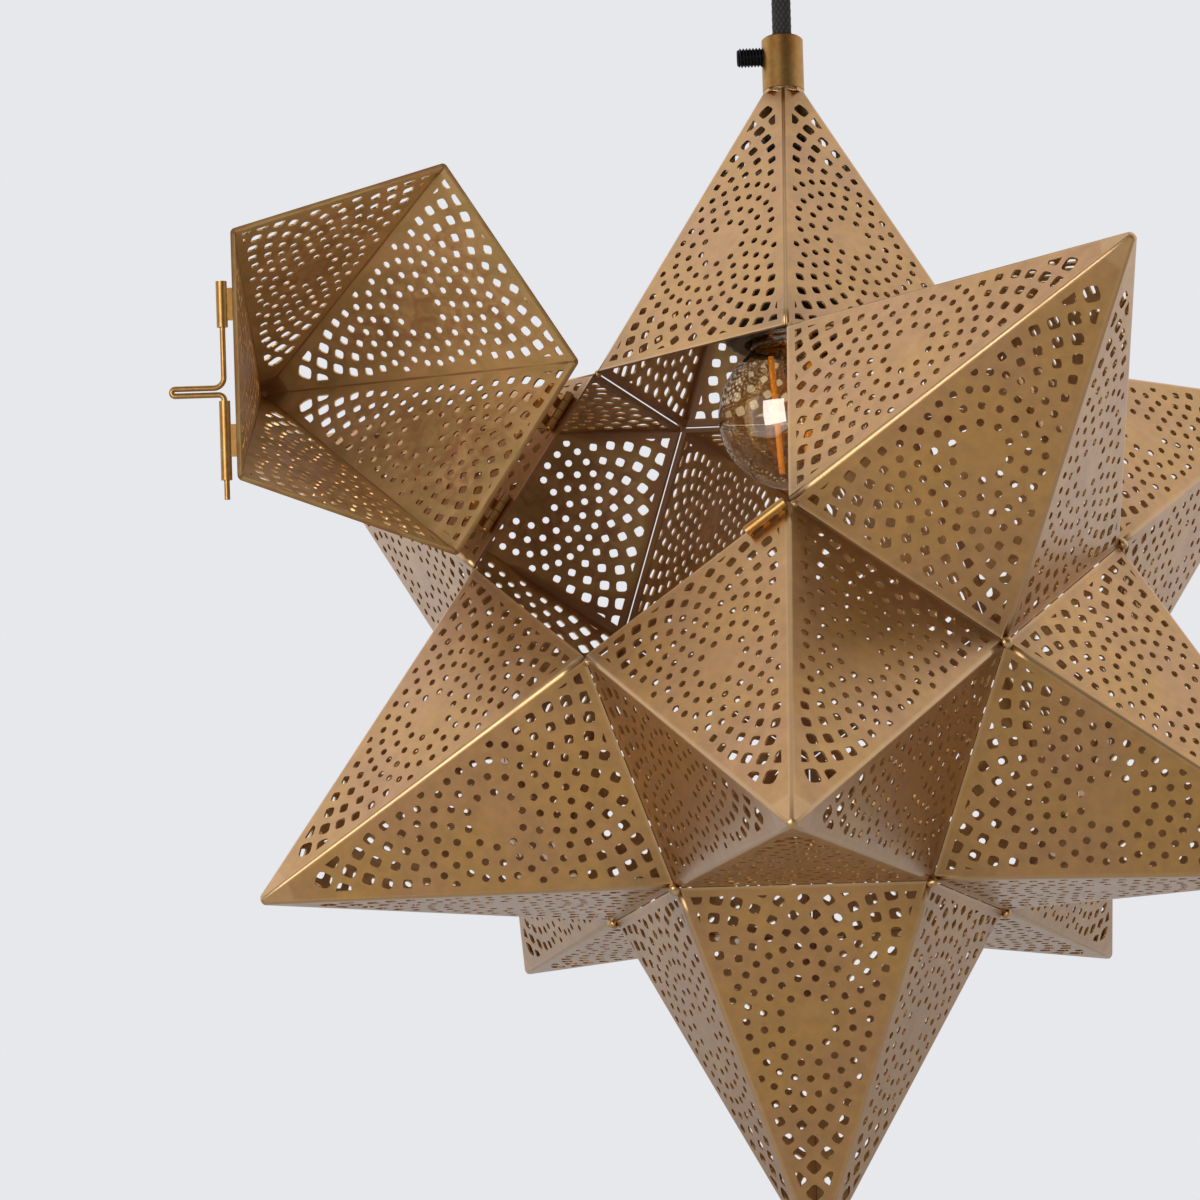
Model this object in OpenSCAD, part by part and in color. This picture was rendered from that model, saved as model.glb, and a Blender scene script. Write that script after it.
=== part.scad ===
// Hanging lantern: a twelve-pointed star of pierced brass sheet that hangs by its cord from a
// ceiling rose. One point of the star is a hinged door, held shut by a sliding bolt.
// The origin is on the ceiling, straight above the middle of the star.

/* [Star] */
// Length of each base edge of a point
edge = 72; // [68:1:80]
// Height of a point above its base, if it ran out to a sharp tip
point_h = 103; // [98:0.5:108]
// Thickness of the brass sheet
sheet = 0.6; // [0.4:0.1:1]
// Gap between two points along their base edges
seam_gap = 0.4; // [0.2:0.1:0.6]
// Width of the line scored through along each fold
fold_gap = 0.06; // [0.04:0.02:0.2]
// Radius inside the blunt end of each point
tip_r = 1; // [0.8:0.1:2]
// Radius inside the end of the top point, where it is cut off for the cord
top_cut_r = 5.2; // [4.4:0.1:5.4]
// Radius of the solder bead on each corner of the star
bead_r = 2.4; // [1:0.2:3]
// Radius of the smaller solder beads on the corners round the door
door_bead_r = 1.2; // [0.6:0.1:1.3]
// Clearance between the door and the solder round it
door_gap = 0.3; // [0.2:0.1:0.6]

/* [Piercing] */
// Plain border left along the edges of each wall
margin = 3; // [2:0.5:5]
// Height of the middle of the rings of holes above the base edge
medal_h = 40.6; // [36:0.2:44]
// Number of rings of holes
n_rings = 11; // [1:1:12]
// Radius of the innermost ring
ring_1_r = 8.1; // [6:0.1:10]
// Step from ring to ring in the middle
ring_step = 4.7; // [4:0.1:6]
// Step from ring to ring outside the last middle ring
outer_step = 4; // [3.5:0.1:6]
// Number of middle rings
middle_rings = 7; // [4:1:9]
// First ring whose holes are diamonds
first_diamond = 8; // [5:1:12]
// Diameter of the round holes of the first four rings
small_hole = 2.2; // [1.6:0.1:2.6]
// Size across the corners of the holes of the last ring
large_hole = 5.1; // [4:0.1:6]

/* [Door] */
// Angle to which the door stands open
open_angle = 106; // [60:1:112]
// Distance of the hinge axis outside the base edge of the door
hinge_out = 3.2; // [3:0.1:4]
// Height of the hinge axis above the base of the door
hinge_up = 1.5; // [1.4:0.1:1.8]
// Distance of the middle of the first hinge from the end of the edge
hinge_1_at = 15.8; // [12:0.2:22]
// Distance of the middle of the second hinge from the same end
hinge_2_at = 53.3; // [44:0.2:56]
// Outside diameter of the hinge knuckles
knuckle_d = 2.8; // [2.4:0.1:2.8]
// Length of one knuckle
knuckle_l = 3; // [2:0.1:4]
// Gap between neighbouring knuckles
knuckle_gap = 0.2; // [0.1:0.1:0.4]
// Thickness of the hinge leaves
leaf_t = 0.5; // [0.4:0.1:0.8]
// Width of the leaf on the star, from the hinge axis
fixed_leaf_w = 7; // [5:0.5:10]
// Height on the door wall at which the leaf on the door ends
door_leaf_w = 7.5; // [5:0.5:10]
// Diameter of the hinge pins
pin_d = 1.3; // [1:0.1:1.5]
// Radial clearance of the hinge pins in the knuckles
pin_fit = 0.05; // [0.03:0.01:0.08]

/* [Bolt] */
// Diameter of the bolt rod
rod_d = 1.6; // [1.2:0.1:1.8]
// Radial clearance of the rod in its tubes
rod_fit = 0.08; // [0.04:0.01:0.1]
// Outside diameter of the bolt tubes
tube_d = 3.2; // [2.8:0.1:3.4]
// Distance of the bolt axis outside the base edge of the door
bolt_out = 2.5; // [2.4:0.1:3]
// Height of the bolt axis above the base of the door
bolt_up = 1.9; // [1.8:0.1:2.2]
// Length of the tube on the star that the bolt shoots into
keeper_l = 13.5; // [8:0.5:14]
// Gap between the tube on the star and the first tube on the door
keeper_gap = 1; // [0.5:0.1:2]
// Length of the first tube on the door
guide_1_l = 13.2; // [10:0.2:14]
// Length of the second tube on the door
guide_2_l = 22.7; // [16:0.1:23]
// Length that the bolt slides
bolt_travel = 14; // [10:0.5:14]
// Length of rod that sticks out below the second tube
rod_tail = 5.6; // [3:0.2:8]
// Length of the loop that the bolt is moved by, from the rod to its end
loop_l = 15; // [10:0.5:20]
// Gap between the two legs of the loop
loop_gap = 0.4; // [0.2:0.1:1]
// Bend radius where the rod turns into the loop
bend_r = 3; // [2:0.1:4]
// Bend radius where the loop turns back into the rod
near_bend_r = 1.6; // [1.4:0.1:2.4]
// Length of each web that joins a tube to the door
web_l = 9.3; // [6:0.1:10]
// Thickness of the webs
web_t = 1; // [0.6:0.1:1.4]

/* [Collar and cord] */
// Outside diameter of the collar that the star hangs from
collar_d = 12.8; // [11:0.2:16]
// Height of the collar
collar_h = 17; // [14:0.5:26]
// Height of the solder between the end of the top point and the collar
collar_lift = 0.5; // [0.2:0.1:2]
// Bore of the collar
collar_bore = 6.6; // [6.4:0.1:7]
// Diameter of the cord
cord_d = 6; // [5:0.1:6]
// Diameter of the screw that clamps the cord
clamp_d = 6; // [4:0.5:8]
// Length of the clamp screw outside the collar
clamp_out = 7.7; // [4:0.1:10]
// Height of the clamp screw above the foot of the collar
clamp_h = 11.6; // [8:0.1:14]
// Length that the clamp screw can be backed out
clamp_travel = 2; // [0.5:0.1:2.4]
// Radial clearance of the threads
thread_fit = 0.05; // [0.02:0.01:0.1]
// Diameter of each of the two conductors inside the cord
core_d = 2.2; // [1.5:0.1:2.6]

/* [Ceiling rose] */
// Diameter of the rose
rose_d = 90; // [80:1:120]
// Height of the rose
rose_h = 28; // [24:1:40]
// Thickness of the rose
rose_t = 1; // [0.6:0.1:1.5]
// Radius of the rounded foot of the rose
rose_round = 7; // [3:0.5:10]
// Length of the cord grip below the rose
grip_h = 12; // [8:0.5:16]
// Width across the flats of the cord grip
grip_af = 15; // [13:0.5:18]
// Visible length of cord from the grip to the collar
cord_free = 23.1; // [15:0.1:200]
// Width of the strap that the rose is fixed to
strap_w = 14; // [12:1:20]
// Thickness of the strap
strap_t = 1.5; // [1:0.1:2.5]
// Distance between the two ceiling screw holes
ceiling_pitch = 50; // [40:1:60]
// Diameter of the two ceiling screw holes
ceiling_hole_d = 4.5; // [4:0.1:5.5]
// Distance of the side screws from the ceiling
side_screw_h = 8; // [6:0.5:12]
// Diameter of the side screws
side_screw_d = 4; // [3:0.5:5]

/* [Lampholder] */
// Length of the threaded nipple at the top of the lampholder
nipple_h = 14; // [10:0.5:18]
// Diameter of the nipples on the lampholder and in the cord grip
nipple_d = 10; // [9:0.5:12]
// Height of the cap, from the top of the nipple to its lower edge
cap_h = 30; // [26:0.5:36]
// Outside radius of the lampholder at the joint of cap and skirt
cap_r = 19.4; // [18:0.1:20]
// Outside radius of the skirt at its open lower rim
rim_r = 20; // [19.6:0.1:22]
// Rounding of the skirt round its rim
rim_round = 2.5; // [1:0.1:4]
// Distance of the skirt's rim below the top of the nipple
rim_at = 69; // [62:0.5:76]
// Gap between the lampholder's cap and the walls of the top point
holder_gap = 2.2; // [0.8:0.1:3]
// Wall of the bakelite parts
bakelite_t = 2.2; // [1.6:0.1:2.6]
// Inside radius of the threaded sleeve that holds the bulb
sleeve_r = 13.5; // [13.4:0.1:14]
// Distance of the top of the sleeve below the top of the nipple
sleeve_at = 35; // [34:0.5:38]

/* [Bulb] */
// Radius of the bulb's glass
bulb_r = 22.6; // [20:0.2:30]
// Length of the bulb
bulb_l = 79; // [76:0.5:95]
// Radius of the bulb's screw cap
bulb_cap_r = 13.1; // [12.9:0.1:13.3]
// Thickness of the glass
glass_t = 0.8; // [0.5:0.1:1.2]
// Number of filaments
n_filaments = 4; // [1:1:6]
// Diameter of a filament
filament_d = 1.8; // [1:0.1:2]
// Distance of the filaments from the axis at the lower end
filament_low_r = 5.4; // [4:0.2:8]
// Distance of the filaments from the axis at the upper end
filament_high_r = 8.5; // [6.5:0.1:9]
// Height that a filament takes up
filament_l = 34; // [28:1:38]

/* [Hidden] */
$fn = 48;
eps = 0.01;

// The route of the cord, from inside the lampholder up into the rose
cord_path = [[0, 0, -104], [0, 0, -92], [0, 0, -78], [0, 0, -64], [0, 0, -50], [0, 0, -36],
    [0, 0, -22], [0, 0, -16]];
cord_sides = 12;
cord_low = -cord_path[0].z;
cord_high = -cord_path[len(cord_path) - 1].z;

// A point is a pyramid on one face of a dodecahedron, a little taller than where the planes of
// the faces beside it would meet
apothem = edge / (2 * tan(36));
corner_r = edge / (2 * sin(36));
steep = point_h / apothem;
wall_tilt = atan(steep);
// Angle between a wall and the base plane of the point beside it
wall_lean = wall_tilt - atan(2);
slant = sqrt(apothem * apothem + point_h * point_h);
belt_r = 2 * apothem;
side = sqrt(edge * edge / 4 + slant * slant);
in_r = edge / 2 * sqrt(2.5 + 1.1 * sqrt(5));
ring_el = atan(0.5);
collar_foot = in_r + point_h - steep * top_cut_r + collar_lift;
star_drop = rose_h + grip_h + cord_free + collar_h + collar_foot;
// Each fixed point: name, azimuth, elevation, and turn about its own axis
FIXED_POINTS = [["top_point", 0, 90, 0], ["upper_point_front_right", 36, ring_el, 0],
    ["upper_point_right", 108, ring_el, 0], ["upper_point_back", 180, ring_el, 0],
    ["upper_point_left", -108, ring_el, 0], ["lower_point_front", 0, -ring_el, 180],
    ["lower_point_front_right", 72, -ring_el, 180], ["lower_point_back_right", 144, -ring_el, 180],
    ["lower_point_back_left", -144, -ring_el, 180], ["lower_point_front_left", -72, -ring_el, 180],
    ["bottom_point", 0, -90, 0]];
// The lampholder hangs from the cord, its domed cap clear of the walls of the top point
dome_top = 16;
dome_r = 11;
holder_at = star_drop - in_r - point_h - dome_top - dome_r
    + steep * ((holder_gap + sheet + dome_r) / sin(wall_tilt) + cap_r - dome_r);
door_az = -36;
hinge_edge = 1;
bolt_edge = 3;
round_rings = 4;

// Places along the bolt edge, counted from the end that the bolt moves toward
keeper_at = 0.5;
guide_1_at = keeper_at + keeper_l + keeper_gap;
rod_at = guide_1_at + 1.5;
bend_at = guide_1_at + guide_1_l + bolt_travel + 0.4;
leg_1_at = bend_at + bend_r;
leg_2_at = leg_1_at + rod_d + loop_gap;
guide_2_at = leg_2_at + near_bend_r + 0.2;
rod_end = guide_2_at + guide_2_l + rod_tail;
// The bolt axis as seen from the door's wall: height up the wall, and distance off it
bolt_up_wall = bolt_up * sin(wall_tilt) - bolt_out * cos(wall_tilt);
bolt_off_wall = bolt_up * cos(wall_tilt) + bolt_out * sin(wall_tilt);
hinge_up_wall = hinge_up * sin(wall_tilt) - hinge_out * cos(wall_tilt);
hinge_off_wall = hinge_up * cos(wall_tilt) + hinge_out * sin(wall_tilt);
hinge_l = 4 * knuckle_l + 3 * knuckle_gap;

brass = "#a5834a";
brass_dark = "#7a5a33";
solder = "#c9b27c";
bakelite = "#17130f";

// ---- Places ----

module in_star() { translate([0, 0, -star_drop]) children(); }

// The base of a point: +Z runs out to its tip
module at_point(az, el, turn) {
    in_star() rotate([0, 0, az]) rotate([90 - el, 0, 0]) translate([0, 0, in_r]) rotate(turn) children();
}

// Edge k of a base: +X along the edge, +Y away from the point, +Z out of the base
module on_edge(k) { rotate(72 * k) translate([0, apothem, 0]) children(); }

// The outside of wall k: +X along its base edge, +Y up the wall, +Z away from it
module on_wall(k) { on_edge(k) rotate([180 - wall_tilt, 0, 0]) mirror([0, 0, 1]) children(); }

module at_shut_door() { at_point(door_az, ring_el, 0) children(); }

module at_open_door() {
    at_shut_door() on_edge(hinge_edge) translate([0, hinge_out, hinge_up]) rotate([-open_angle, 0, 0])
        translate([0, -hinge_out - apothem, -hinge_up]) rotate(-72 * hinge_edge) children();
}

// A piece of the bolt edge from one place to the next, along +Z with +X up off the star's wall
module along_bolt(from) {
    on_edge(bolt_edge) translate([from - edge / 2, bolt_out, bolt_up]) rotate([0, 90, 0]) children();
}

// ---- Points of the star ----

function ring_r(k) = ring_1_r + ring_step * (min(k, middle_rings) - 1)
    + outer_step * max(0, k - middle_rings);
function ring_count(k) = k == 1 ? 10 : k == 2 ? 16 : k == 3 ? 24 : 32;
function hole_d(k) = small_hole + (large_hole - small_hole) * max(0, k - round_rings)
    / (n_rings > round_rings ? n_rings - round_rings : 1);
// Distance of a place on the wall from the nearest edge of the pierced field
function room(x, y) = min(y, ((edge / 2 - abs(x)) * slant - y * edge / 2) / side) - margin;

module wall_outline() { polygon([[-edge / 2, 0], [edge / 2, 0], [0, slant]]); }

module pierced_field() {
    in_circle = edge * slant / (edge + 2 * side);
    share = 1 - margin / in_circle;
    translate([0, in_circle * (1 - share)]) scale([share, share]) wall_outline();
}

module hole(k, turn) {
    rotate(turn) translate([ring_r(k), 0]) circle(d = hole_d(k), $fn = k < first_diamond ? 24 : 4);
}

// Rings of holes round one middle; a hole that crosses the plain border is cut off at it, and one
// of which less than a sliver would be left is skipped
module piercing() {
    sliver = 0.5;
    for (k = [1:n_rings], j = [0:ring_count(k) - 1]) {
        turn = 90 + (j + (k % 2 == 0 ? 0.5 : 0)) * 360 / ring_count(k);
        left = room(ring_r(k) * cos(turn), medal_h + ring_r(k) * sin(turn));
        if (left >= hole_d(k) / 2) translate([0, medal_h]) hole(k, turn);
        else if (left > sliver - 0.42 * hole_d(k)) intersection() {
            translate([0, medal_h]) hole(k, turn);
            pierced_field();
        }
    }
}

// One wall, mitred where it folds into the walls beside it
module wall(cut_r) {
    fold_y = fold_gap / 2 / sin(36);
    far_y = fold_y + apothem * 1.2;
    far_x = apothem * 1.2 * tan(36);
    intersection() {
        translate([0, apothem, 0]) rotate([180 - wall_tilt, 0, 0]) linear_extrude(sheet) difference() {
            wall_outline();
            piercing();
        }
        translate([0, 0, seam_gap / 2]) linear_extrude(point_h - steep * cut_r - seam_gap / 2)
            polygon([[0, fold_y], [far_x, far_y], [-far_x, far_y]]);
    }
}

module star_point(cut_r) { for (k = [0:4]) rotate(72 * k) wall(cut_r); }

module fixed_point(p) {
    color(brass) at_point(p[1], p[2], p[3]) star_point(p[0] == "top_point" ? top_cut_r : tip_r);
}

module door_point() { color(brass) at_open_door() star_point(tip_r); }

// ---- Solder ----

// The solid that a point takes up, with its tip cut off this far down
module point_cut(az, el, turn, off) {
    low = seam_gap / 2;
    at_point(az, el, turn) translate([0, 0, low]) rotate(54) cylinder(h = point_h - off - low,
        r1 = corner_r * (1 - low / point_h), r2 = corner_r * off / point_h, $fn = 5);
}

module point_body(az, el, turn) { point_cut(az, el, turn, 0); }

// The room that the door needs over its base as it swings away
module door_room() {
    at_shut_door() translate([0, 0, seam_gap / 2 - door_gap]) rotate(54)
        cylinder(h = 4 * bead_r, r = corner_r + door_gap / cos(36), $fn = 5);
}

module bead(az, r, z, corner) {
    by_door = corner == "door";
    in_star() rotate(az) translate([0, -r, z]) rotate([atan2(r, z), 0, 0])
        sphere(by_door ? door_bead_r : bead_r, $fn = 12);
}

// The corners of the star lie in four rings of five; the two middle rings are the wider ones
module corner_solder() {
    low_z = in_r * (sqrt(5) - 2);
    color(solder) {
        for (k = [-2:2]) {
            az = 72 * k;
            difference() {
                bead(az, corner_r, in_r, abs(az + 36) < 40 ? "door" : "");
                point_body(0, 90, 0);
                for (t = [-36, 36]) if (az + t != door_az) point_body(az + t, ring_el, 0);
                door_room();
            }
            difference() {
                bead(az, belt_r, low_z, abs(az + 36) < 40 ? "door" : "");
                point_body(az, -ring_el, 180);
                for (t = [-36, 36]) if (az + t != door_az) point_body(az + t, ring_el, 0);
                door_room();
            }
            difference() {
                bead(az + 36, belt_r, -low_z, az + 36 == door_az ? "door" : "");
                if (az + 36 != door_az) point_body(az + 36, ring_el, 0);
                for (t = [0, 72]) point_body(az + t, -ring_el, 180);
                door_room();
            }
            difference() {
                bead(az + 36, corner_r, -in_r, "");
                point_body(0, -90, 0);
                for (t = [0, 72]) point_body(az + t, -ring_el, 180);
            }
        }
    }
}

// Solder that fills the step between the end of the top point and the collar
module collar_solder() {
    reach = collar_lift + 2;
    color(solder) difference() {
        in_star() translate([0, 0, collar_foot - reach]) rotate_extrude()
            polygon([[collar_bore / 2 + 0.4, 0], [collar_d / 2, 0], [collar_d / 2 + 0.2, reach - 1.2],
                [collar_d / 2 - 0.3, reach], [collar_bore / 2 + 0.4, reach]]);
        point_cut(0, 90, 0, steep * top_cut_r);
    }
}

// ---- Door: hinges and bolt ----

module at_hinges() {
    for (at = [hinge_1_at, hinge_2_at]) translate([edge / 2 - at, 0, 0]) children();
}

// Middle of knuckle j of one hinge; knuckles 0 and 2 are the star's, 1 and 3 the door's
function knuckle_x(j) = hinge_l / 2 - knuckle_l / 2 - j * (knuckle_l + knuckle_gap);

module knuckle(j) {
    translate([knuckle_x(j), 0, 0]) rotate([0, 90, 0]) cylinder(h = knuckle_l, d = knuckle_d, center = true);
}

module pin_bore() {
    rotate([0, 90, 0]) cylinder(h = hinge_l + 2, d = pin_d + 2 * pin_fit, center = true);
}

// The leaf on the star lies flat on the wall beside the door, notched round the door's knuckles
module star_hinge_leaves() {
    notch = knuckle_d / 2 + 0.4;
    color(brass) at_shut_door() on_edge(hinge_edge) at_hinges() difference() {
        union() {
            rotate([wall_lean, 0, 0]) translate([-hinge_l / 2, hinge_out, 0])
                cube([hinge_l, fixed_leaf_w, leaf_t]);
            translate([0, hinge_out, hinge_up]) for (j = [0, 2]) knuckle(j);
            for (j = [0, 2]) translate([knuckle_x(j) - knuckle_l / 2, hinge_out - leaf_t / 2, leaf_t / 2])
                cube([knuckle_l, leaf_t, hinge_up - pin_d / 2 - 2 * pin_fit - leaf_t / 2]);
        }
        translate([0, hinge_out, hinge_up]) pin_bore();
        for (j = [1, 3]) translate([knuckle_x(j) - knuckle_l / 2 - knuckle_gap, hinge_out - notch, -1])
            cube([knuckle_l + 2 * knuckle_gap, 2 * notch, hinge_up + knuckle_d]);
    }
}

// The leaf on the door lies on its wall and steps out to the knuckles
module door_hinge_leaves() {
    leaf_from = 0.9;
    color(brass) at_open_door() on_wall(hinge_edge) at_hinges() difference() {
        union() {
            translate([-hinge_l / 2, leaf_from, 0]) cube([hinge_l, door_leaf_w - leaf_from, leaf_t]);
            for (j = [1, 3]) {
                translate([knuckle_x(j) - knuckle_l / 2, leaf_from, 0])
                    cube([knuckle_l, leaf_t, hinge_off_wall]);
                translate([0, hinge_up_wall, hinge_off_wall]) knuckle(j);
            }
        }
        translate([0, hinge_up_wall, hinge_off_wall]) pin_bore();
    }
}

module hinge_pins() {
    head_l = 0.5;
    color(brass_dark) at_shut_door() on_edge(hinge_edge) at_hinges()
        translate([0, hinge_out, hinge_up]) rotate([0, 90, 0]) {
            cylinder(h = hinge_l + 0.2, d = pin_d, center = true);
            for (s = [0, 1]) mirror([0, 0, s]) translate([0, 0, hinge_l / 2 + 0.1])
                rotate_extrude() intersection() {
                    scale([1, 2 * head_l / pin_d]) circle(d = pin_d);
                    square([pin_d, pin_d]);
                }
        }
}

module tube(l) {
    difference() {
        cylinder(h = l, d = tube_d);
        translate([0, 0, -1]) cylinder(h = l + 2, d = rod_d + 2 * rod_fit);
    }
}

// The tube on the star that the bolt shoots into, on a thin bed of solder
module bolt_keeper_tube() {
    bed_w = 1.8;
    color(brass) at_shut_door() {
        along_bolt(keeper_at) tube(keeper_l);
        on_edge(bolt_edge) rotate([wall_lean, 0, 0])
            translate([keeper_at + 0.5 - edge / 2, bolt_out - bed_w / 2, 0])
            cube([keeper_l - 1, bed_w, bolt_up - rod_d / 2 - 3 * rod_fit]);
    }
}

// The two guide tubes on the door, each on its web
module door_bolt_tubes() {
    color(brass) at_open_door() for (g = [[guide_1_at, guide_1_l], [guide_2_at, guide_2_l]]) {
        along_bolt(g[0]) tube(g[1]);
        on_wall(bolt_edge) translate([g[0] + (g[1] - web_l) / 2 - edge / 2, bolt_up_wall - web_t / 2, 0])
            cube([web_l, web_t, bolt_off_wall - rod_d / 2 - 2 * rod_fit]);
    }
}

// A quarter bend of the rod in the XY plane: it leaves the origin along +X and turns to +Y
module bend(r) {
    translate([0, r, 0]) rotate([0, 0, -90]) rotate_extrude(angle = 90) translate([r, 0]) circle(d = rod_d);
}

// The bolt is one rod, bent out into a narrow loop between the two guide tubes
module bolt_rod() {
    turn_r = (rod_d + loop_gap) / 2;
    leg_l = loop_l - turn_r;
    // The loop points straight away from the door's wall: +X along the rod, +Y along the loop
    color(brass_dark) at_open_door() on_wall(bolt_edge) translate([-edge / 2, bolt_up_wall, bolt_off_wall])
        rotate([90, 0, 0]) {
            translate([rod_at, 0, 0]) rotate([0, 90, 0]) cylinder(h = bend_at - rod_at, d = rod_d);
            translate([bend_at, 0, 0]) bend(bend_r);
            translate([leg_1_at, bend_r, 0]) rotate([-90, 0, 0]) cylinder(h = leg_l - bend_r, d = rod_d);
            translate([leg_1_at + turn_r, leg_l, 0]) rotate_extrude(angle = 180)
                translate([turn_r, 0]) circle(d = rod_d);
            translate([leg_2_at, near_bend_r, 0]) rotate([-90, 0, 0])
                cylinder(h = leg_l - near_bend_r, d = rod_d);
            translate([leg_2_at + near_bend_r, 0, 0]) mirror([1, 0, 0]) bend(near_bend_r);
            translate([leg_2_at + near_bend_r, 0, 0]) rotate([0, 90, 0])
                cylinder(h = rod_end - leg_2_at - near_bend_r, d = rod_d);
        }
}

// ---- Collar and cord ----

module at_clamp() {
    in_star() translate([0, 0, collar_foot + clamp_h]) rotate([0, -90, 0]) children();
}

module collar() {
    color(brass) difference() {
        in_star() translate([0, 0, collar_foot]) rotate_extrude() difference() {
            translate([collar_bore / 2, 0]) square([(collar_d - collar_bore) / 2, collar_h]);
            translate([collar_d / 2, collar_h]) rotate(45) square(0.6, center = true);
        }
        at_clamp() cylinder(h = collar_d, d = clamp_d + 2 * thread_fit);
    }
}

// The clamp screw bears on the cord; its outer end is chamfered and slotted
module clamp_screw() {
    from = cord_d / 2 + 0.1;
    to = collar_d / 2 + clamp_out;
    chamfer = 0.8;
    slot_w = 1;
    slot_depth = 1.6;
    color("#1b1b1c") difference() {
        at_clamp() translate([0, 0, from]) rotate_extrude()
            polygon([[0, 0], [clamp_d / 2 - chamfer, 0], [clamp_d / 2, chamfer],
                [clamp_d / 2, to - from - chamfer], [clamp_d / 2 - chamfer, to - from], [0, to - from]]);
        at_clamp() translate([-clamp_d, -slot_w / 2, to - slot_depth])
            cube([2 * clamp_d, slot_w, 2 * slot_depth]);
    }
}

// A ring of points round each place on the route, joined into one closed tube
module cord() {
    rings = len(cord_path);
    points = [for (p = cord_path, s = [0:cord_sides - 1])
        p + cord_d / 2 * [cos(s * 360 / cord_sides), sin(s * 360 / cord_sides), 0]];
    sides = [for (r = [0:rings - 2], s = [0:cord_sides - 1])
        let (a = r * cord_sides, t = (s + 1) % cord_sides)
        [a + s, a + cord_sides + s, a + cord_sides + t, a + t]];
    ends = [[for (s = [0:cord_sides - 1]) s],
        [for (s = [cord_sides - 1:-1:0]) (rings - 1) * cord_sides + s]];
    color("#2e2c2b") polyhedron(points, concat(sides, ends));
}

// The two conductors between the ends of the cord and the terminals
module cord_cores() {
    color("#3a3f63") for (x = [-1, 1]) translate([x * core_d * 0.6, 0, 0]) {
        translate([0, 0, -insulator_top()]) cylinder(h = insulator_top() - cord_low, d = core_d);
        translate([0, 0, -cord_high]) cylinder(h = cord_high - block_bottom(), d = core_d);
    }
}

// ---- Ceiling rose ----

function block_bottom() = strap_t + 12;
function insulator_top() = holder_at + 20;

// A spun cup with a rounded foot, open to the ceiling
module rose_cup() {
    color(brass) difference() {
        rotate_extrude() difference() {
            rose_profile(rose_d / 2, rose_h, rose_round);
            rose_profile(rose_d / 2 - rose_t, rose_h - rose_t, rose_round - rose_t);
            translate([-1, -rose_h - 1]) square([nipple_d / 2 + thread_fit + 1, rose_h + 2]);
        }
        for (s = [0, 180]) rotate(s) translate([0, 0, -side_screw_h]) rotate([0, 90, 0])
            cylinder(h = rose_d, d = side_screw_d + 0.4);
    }
}

// Half of the outline of the cup, from the ceiling down
module rose_profile(r, h, round_r) {
    intersection() {
        translate([0, -h]) square([r, h]);
        union() {
            translate([0, -h + round_r]) square([r, h]);
            translate([0, -h - 1]) square([r - round_r, h]);
            translate([r - round_r, -h + round_r]) circle(round_r);
        }
    }
}

// The strap is screwed to the ceiling, and its turned-down ends take the side screws
module rose_strap() {
    half = rose_d / 2 - rose_t - 0.5;
    color("#b9bbbd") difference() {
        translate([-half, -strap_w / 2, -side_screw_h - side_screw_d])
            cube([2 * half, strap_w, side_screw_h + side_screw_d]);
        translate([-half + strap_t, -strap_w, -side_screw_h - side_screw_d - 1])
            cube([2 * (half - strap_t), 2 * strap_w, side_screw_h + side_screw_d + 1 - strap_t]);
        difference() {
            translate([0, 0, -rose_h]) cylinder(h = 2 * rose_h, r = rose_d);
            translate([0, 0, -rose_h - 1]) cylinder(h = 2 * rose_h + 2, r = half);
        }
        for (x = [-1, 1]) translate([x * ceiling_pitch / 2, 0, -2 * strap_t])
            cylinder(h = 3 * strap_t, d = ceiling_hole_d);
        translate([-rose_d, 0, -side_screw_h]) rotate([0, 90, 0])
            cylinder(h = 2 * rose_d, d = side_screw_d + 2 * thread_fit);
    }
}

module rose_side_screws() {
    head_r = side_screw_d * 0.95;
    head_h = 2.4;
    shank = 6;
    color(brass) for (s = [0, 180]) rotate(s) translate([rose_d / 2, 0, -side_screw_h]) rotate([0, 90, 0])
        difference() {
            rotate_extrude() polygon([[0, -shank], [side_screw_d / 2, -shank], [side_screw_d / 2, 0],
                [head_r, 0], [head_r, head_h * 0.6], [head_r * 0.7, head_h], [0, head_h]]);
            translate([-side_screw_d, -0.5, head_h - 1]) cube([2 * side_screw_d, 1, 2]);
        }
}

// The grip holds the cord below the rose; its nipple passes up through the foot of the rose
module cord_grip() {
    color(brass) difference() {
        union() {
            translate([0, 0, -rose_h - grip_h * 0.55])
                cylinder(h = grip_h * 0.55, d = grip_af / cos(30), $fn = 6);
            translate([0, 0, -rose_h - grip_h]) rotate_extrude()
                polygon([[0, 0], [grip_af * 0.32, 0], [grip_af * 0.46, grip_h * 0.3],
                    [grip_af * 0.46, grip_h * 0.5], [0, grip_h * 0.5]]);
            translate([0, 0, -rose_h - 1]) cylinder(h = 9, d = nipple_d);
        }
        translate([0, 0, -rose_h - grip_h - 1]) cylinder(h = grip_h + 12, d = cord_d + 0.4);
    }
}

module grip_nut() {
    nut_h = 3;
    nut_af = nipple_d + 4;
    color("#b9bbbd") translate([0, 0, -rose_h + rose_t]) difference() {
        cylinder(h = nut_h, d = nut_af / cos(30), $fn = 6);
        translate([0, 0, -1]) cylinder(h = nut_h + 2, d = nipple_d + 2 * thread_fit);
    }
}

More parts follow.
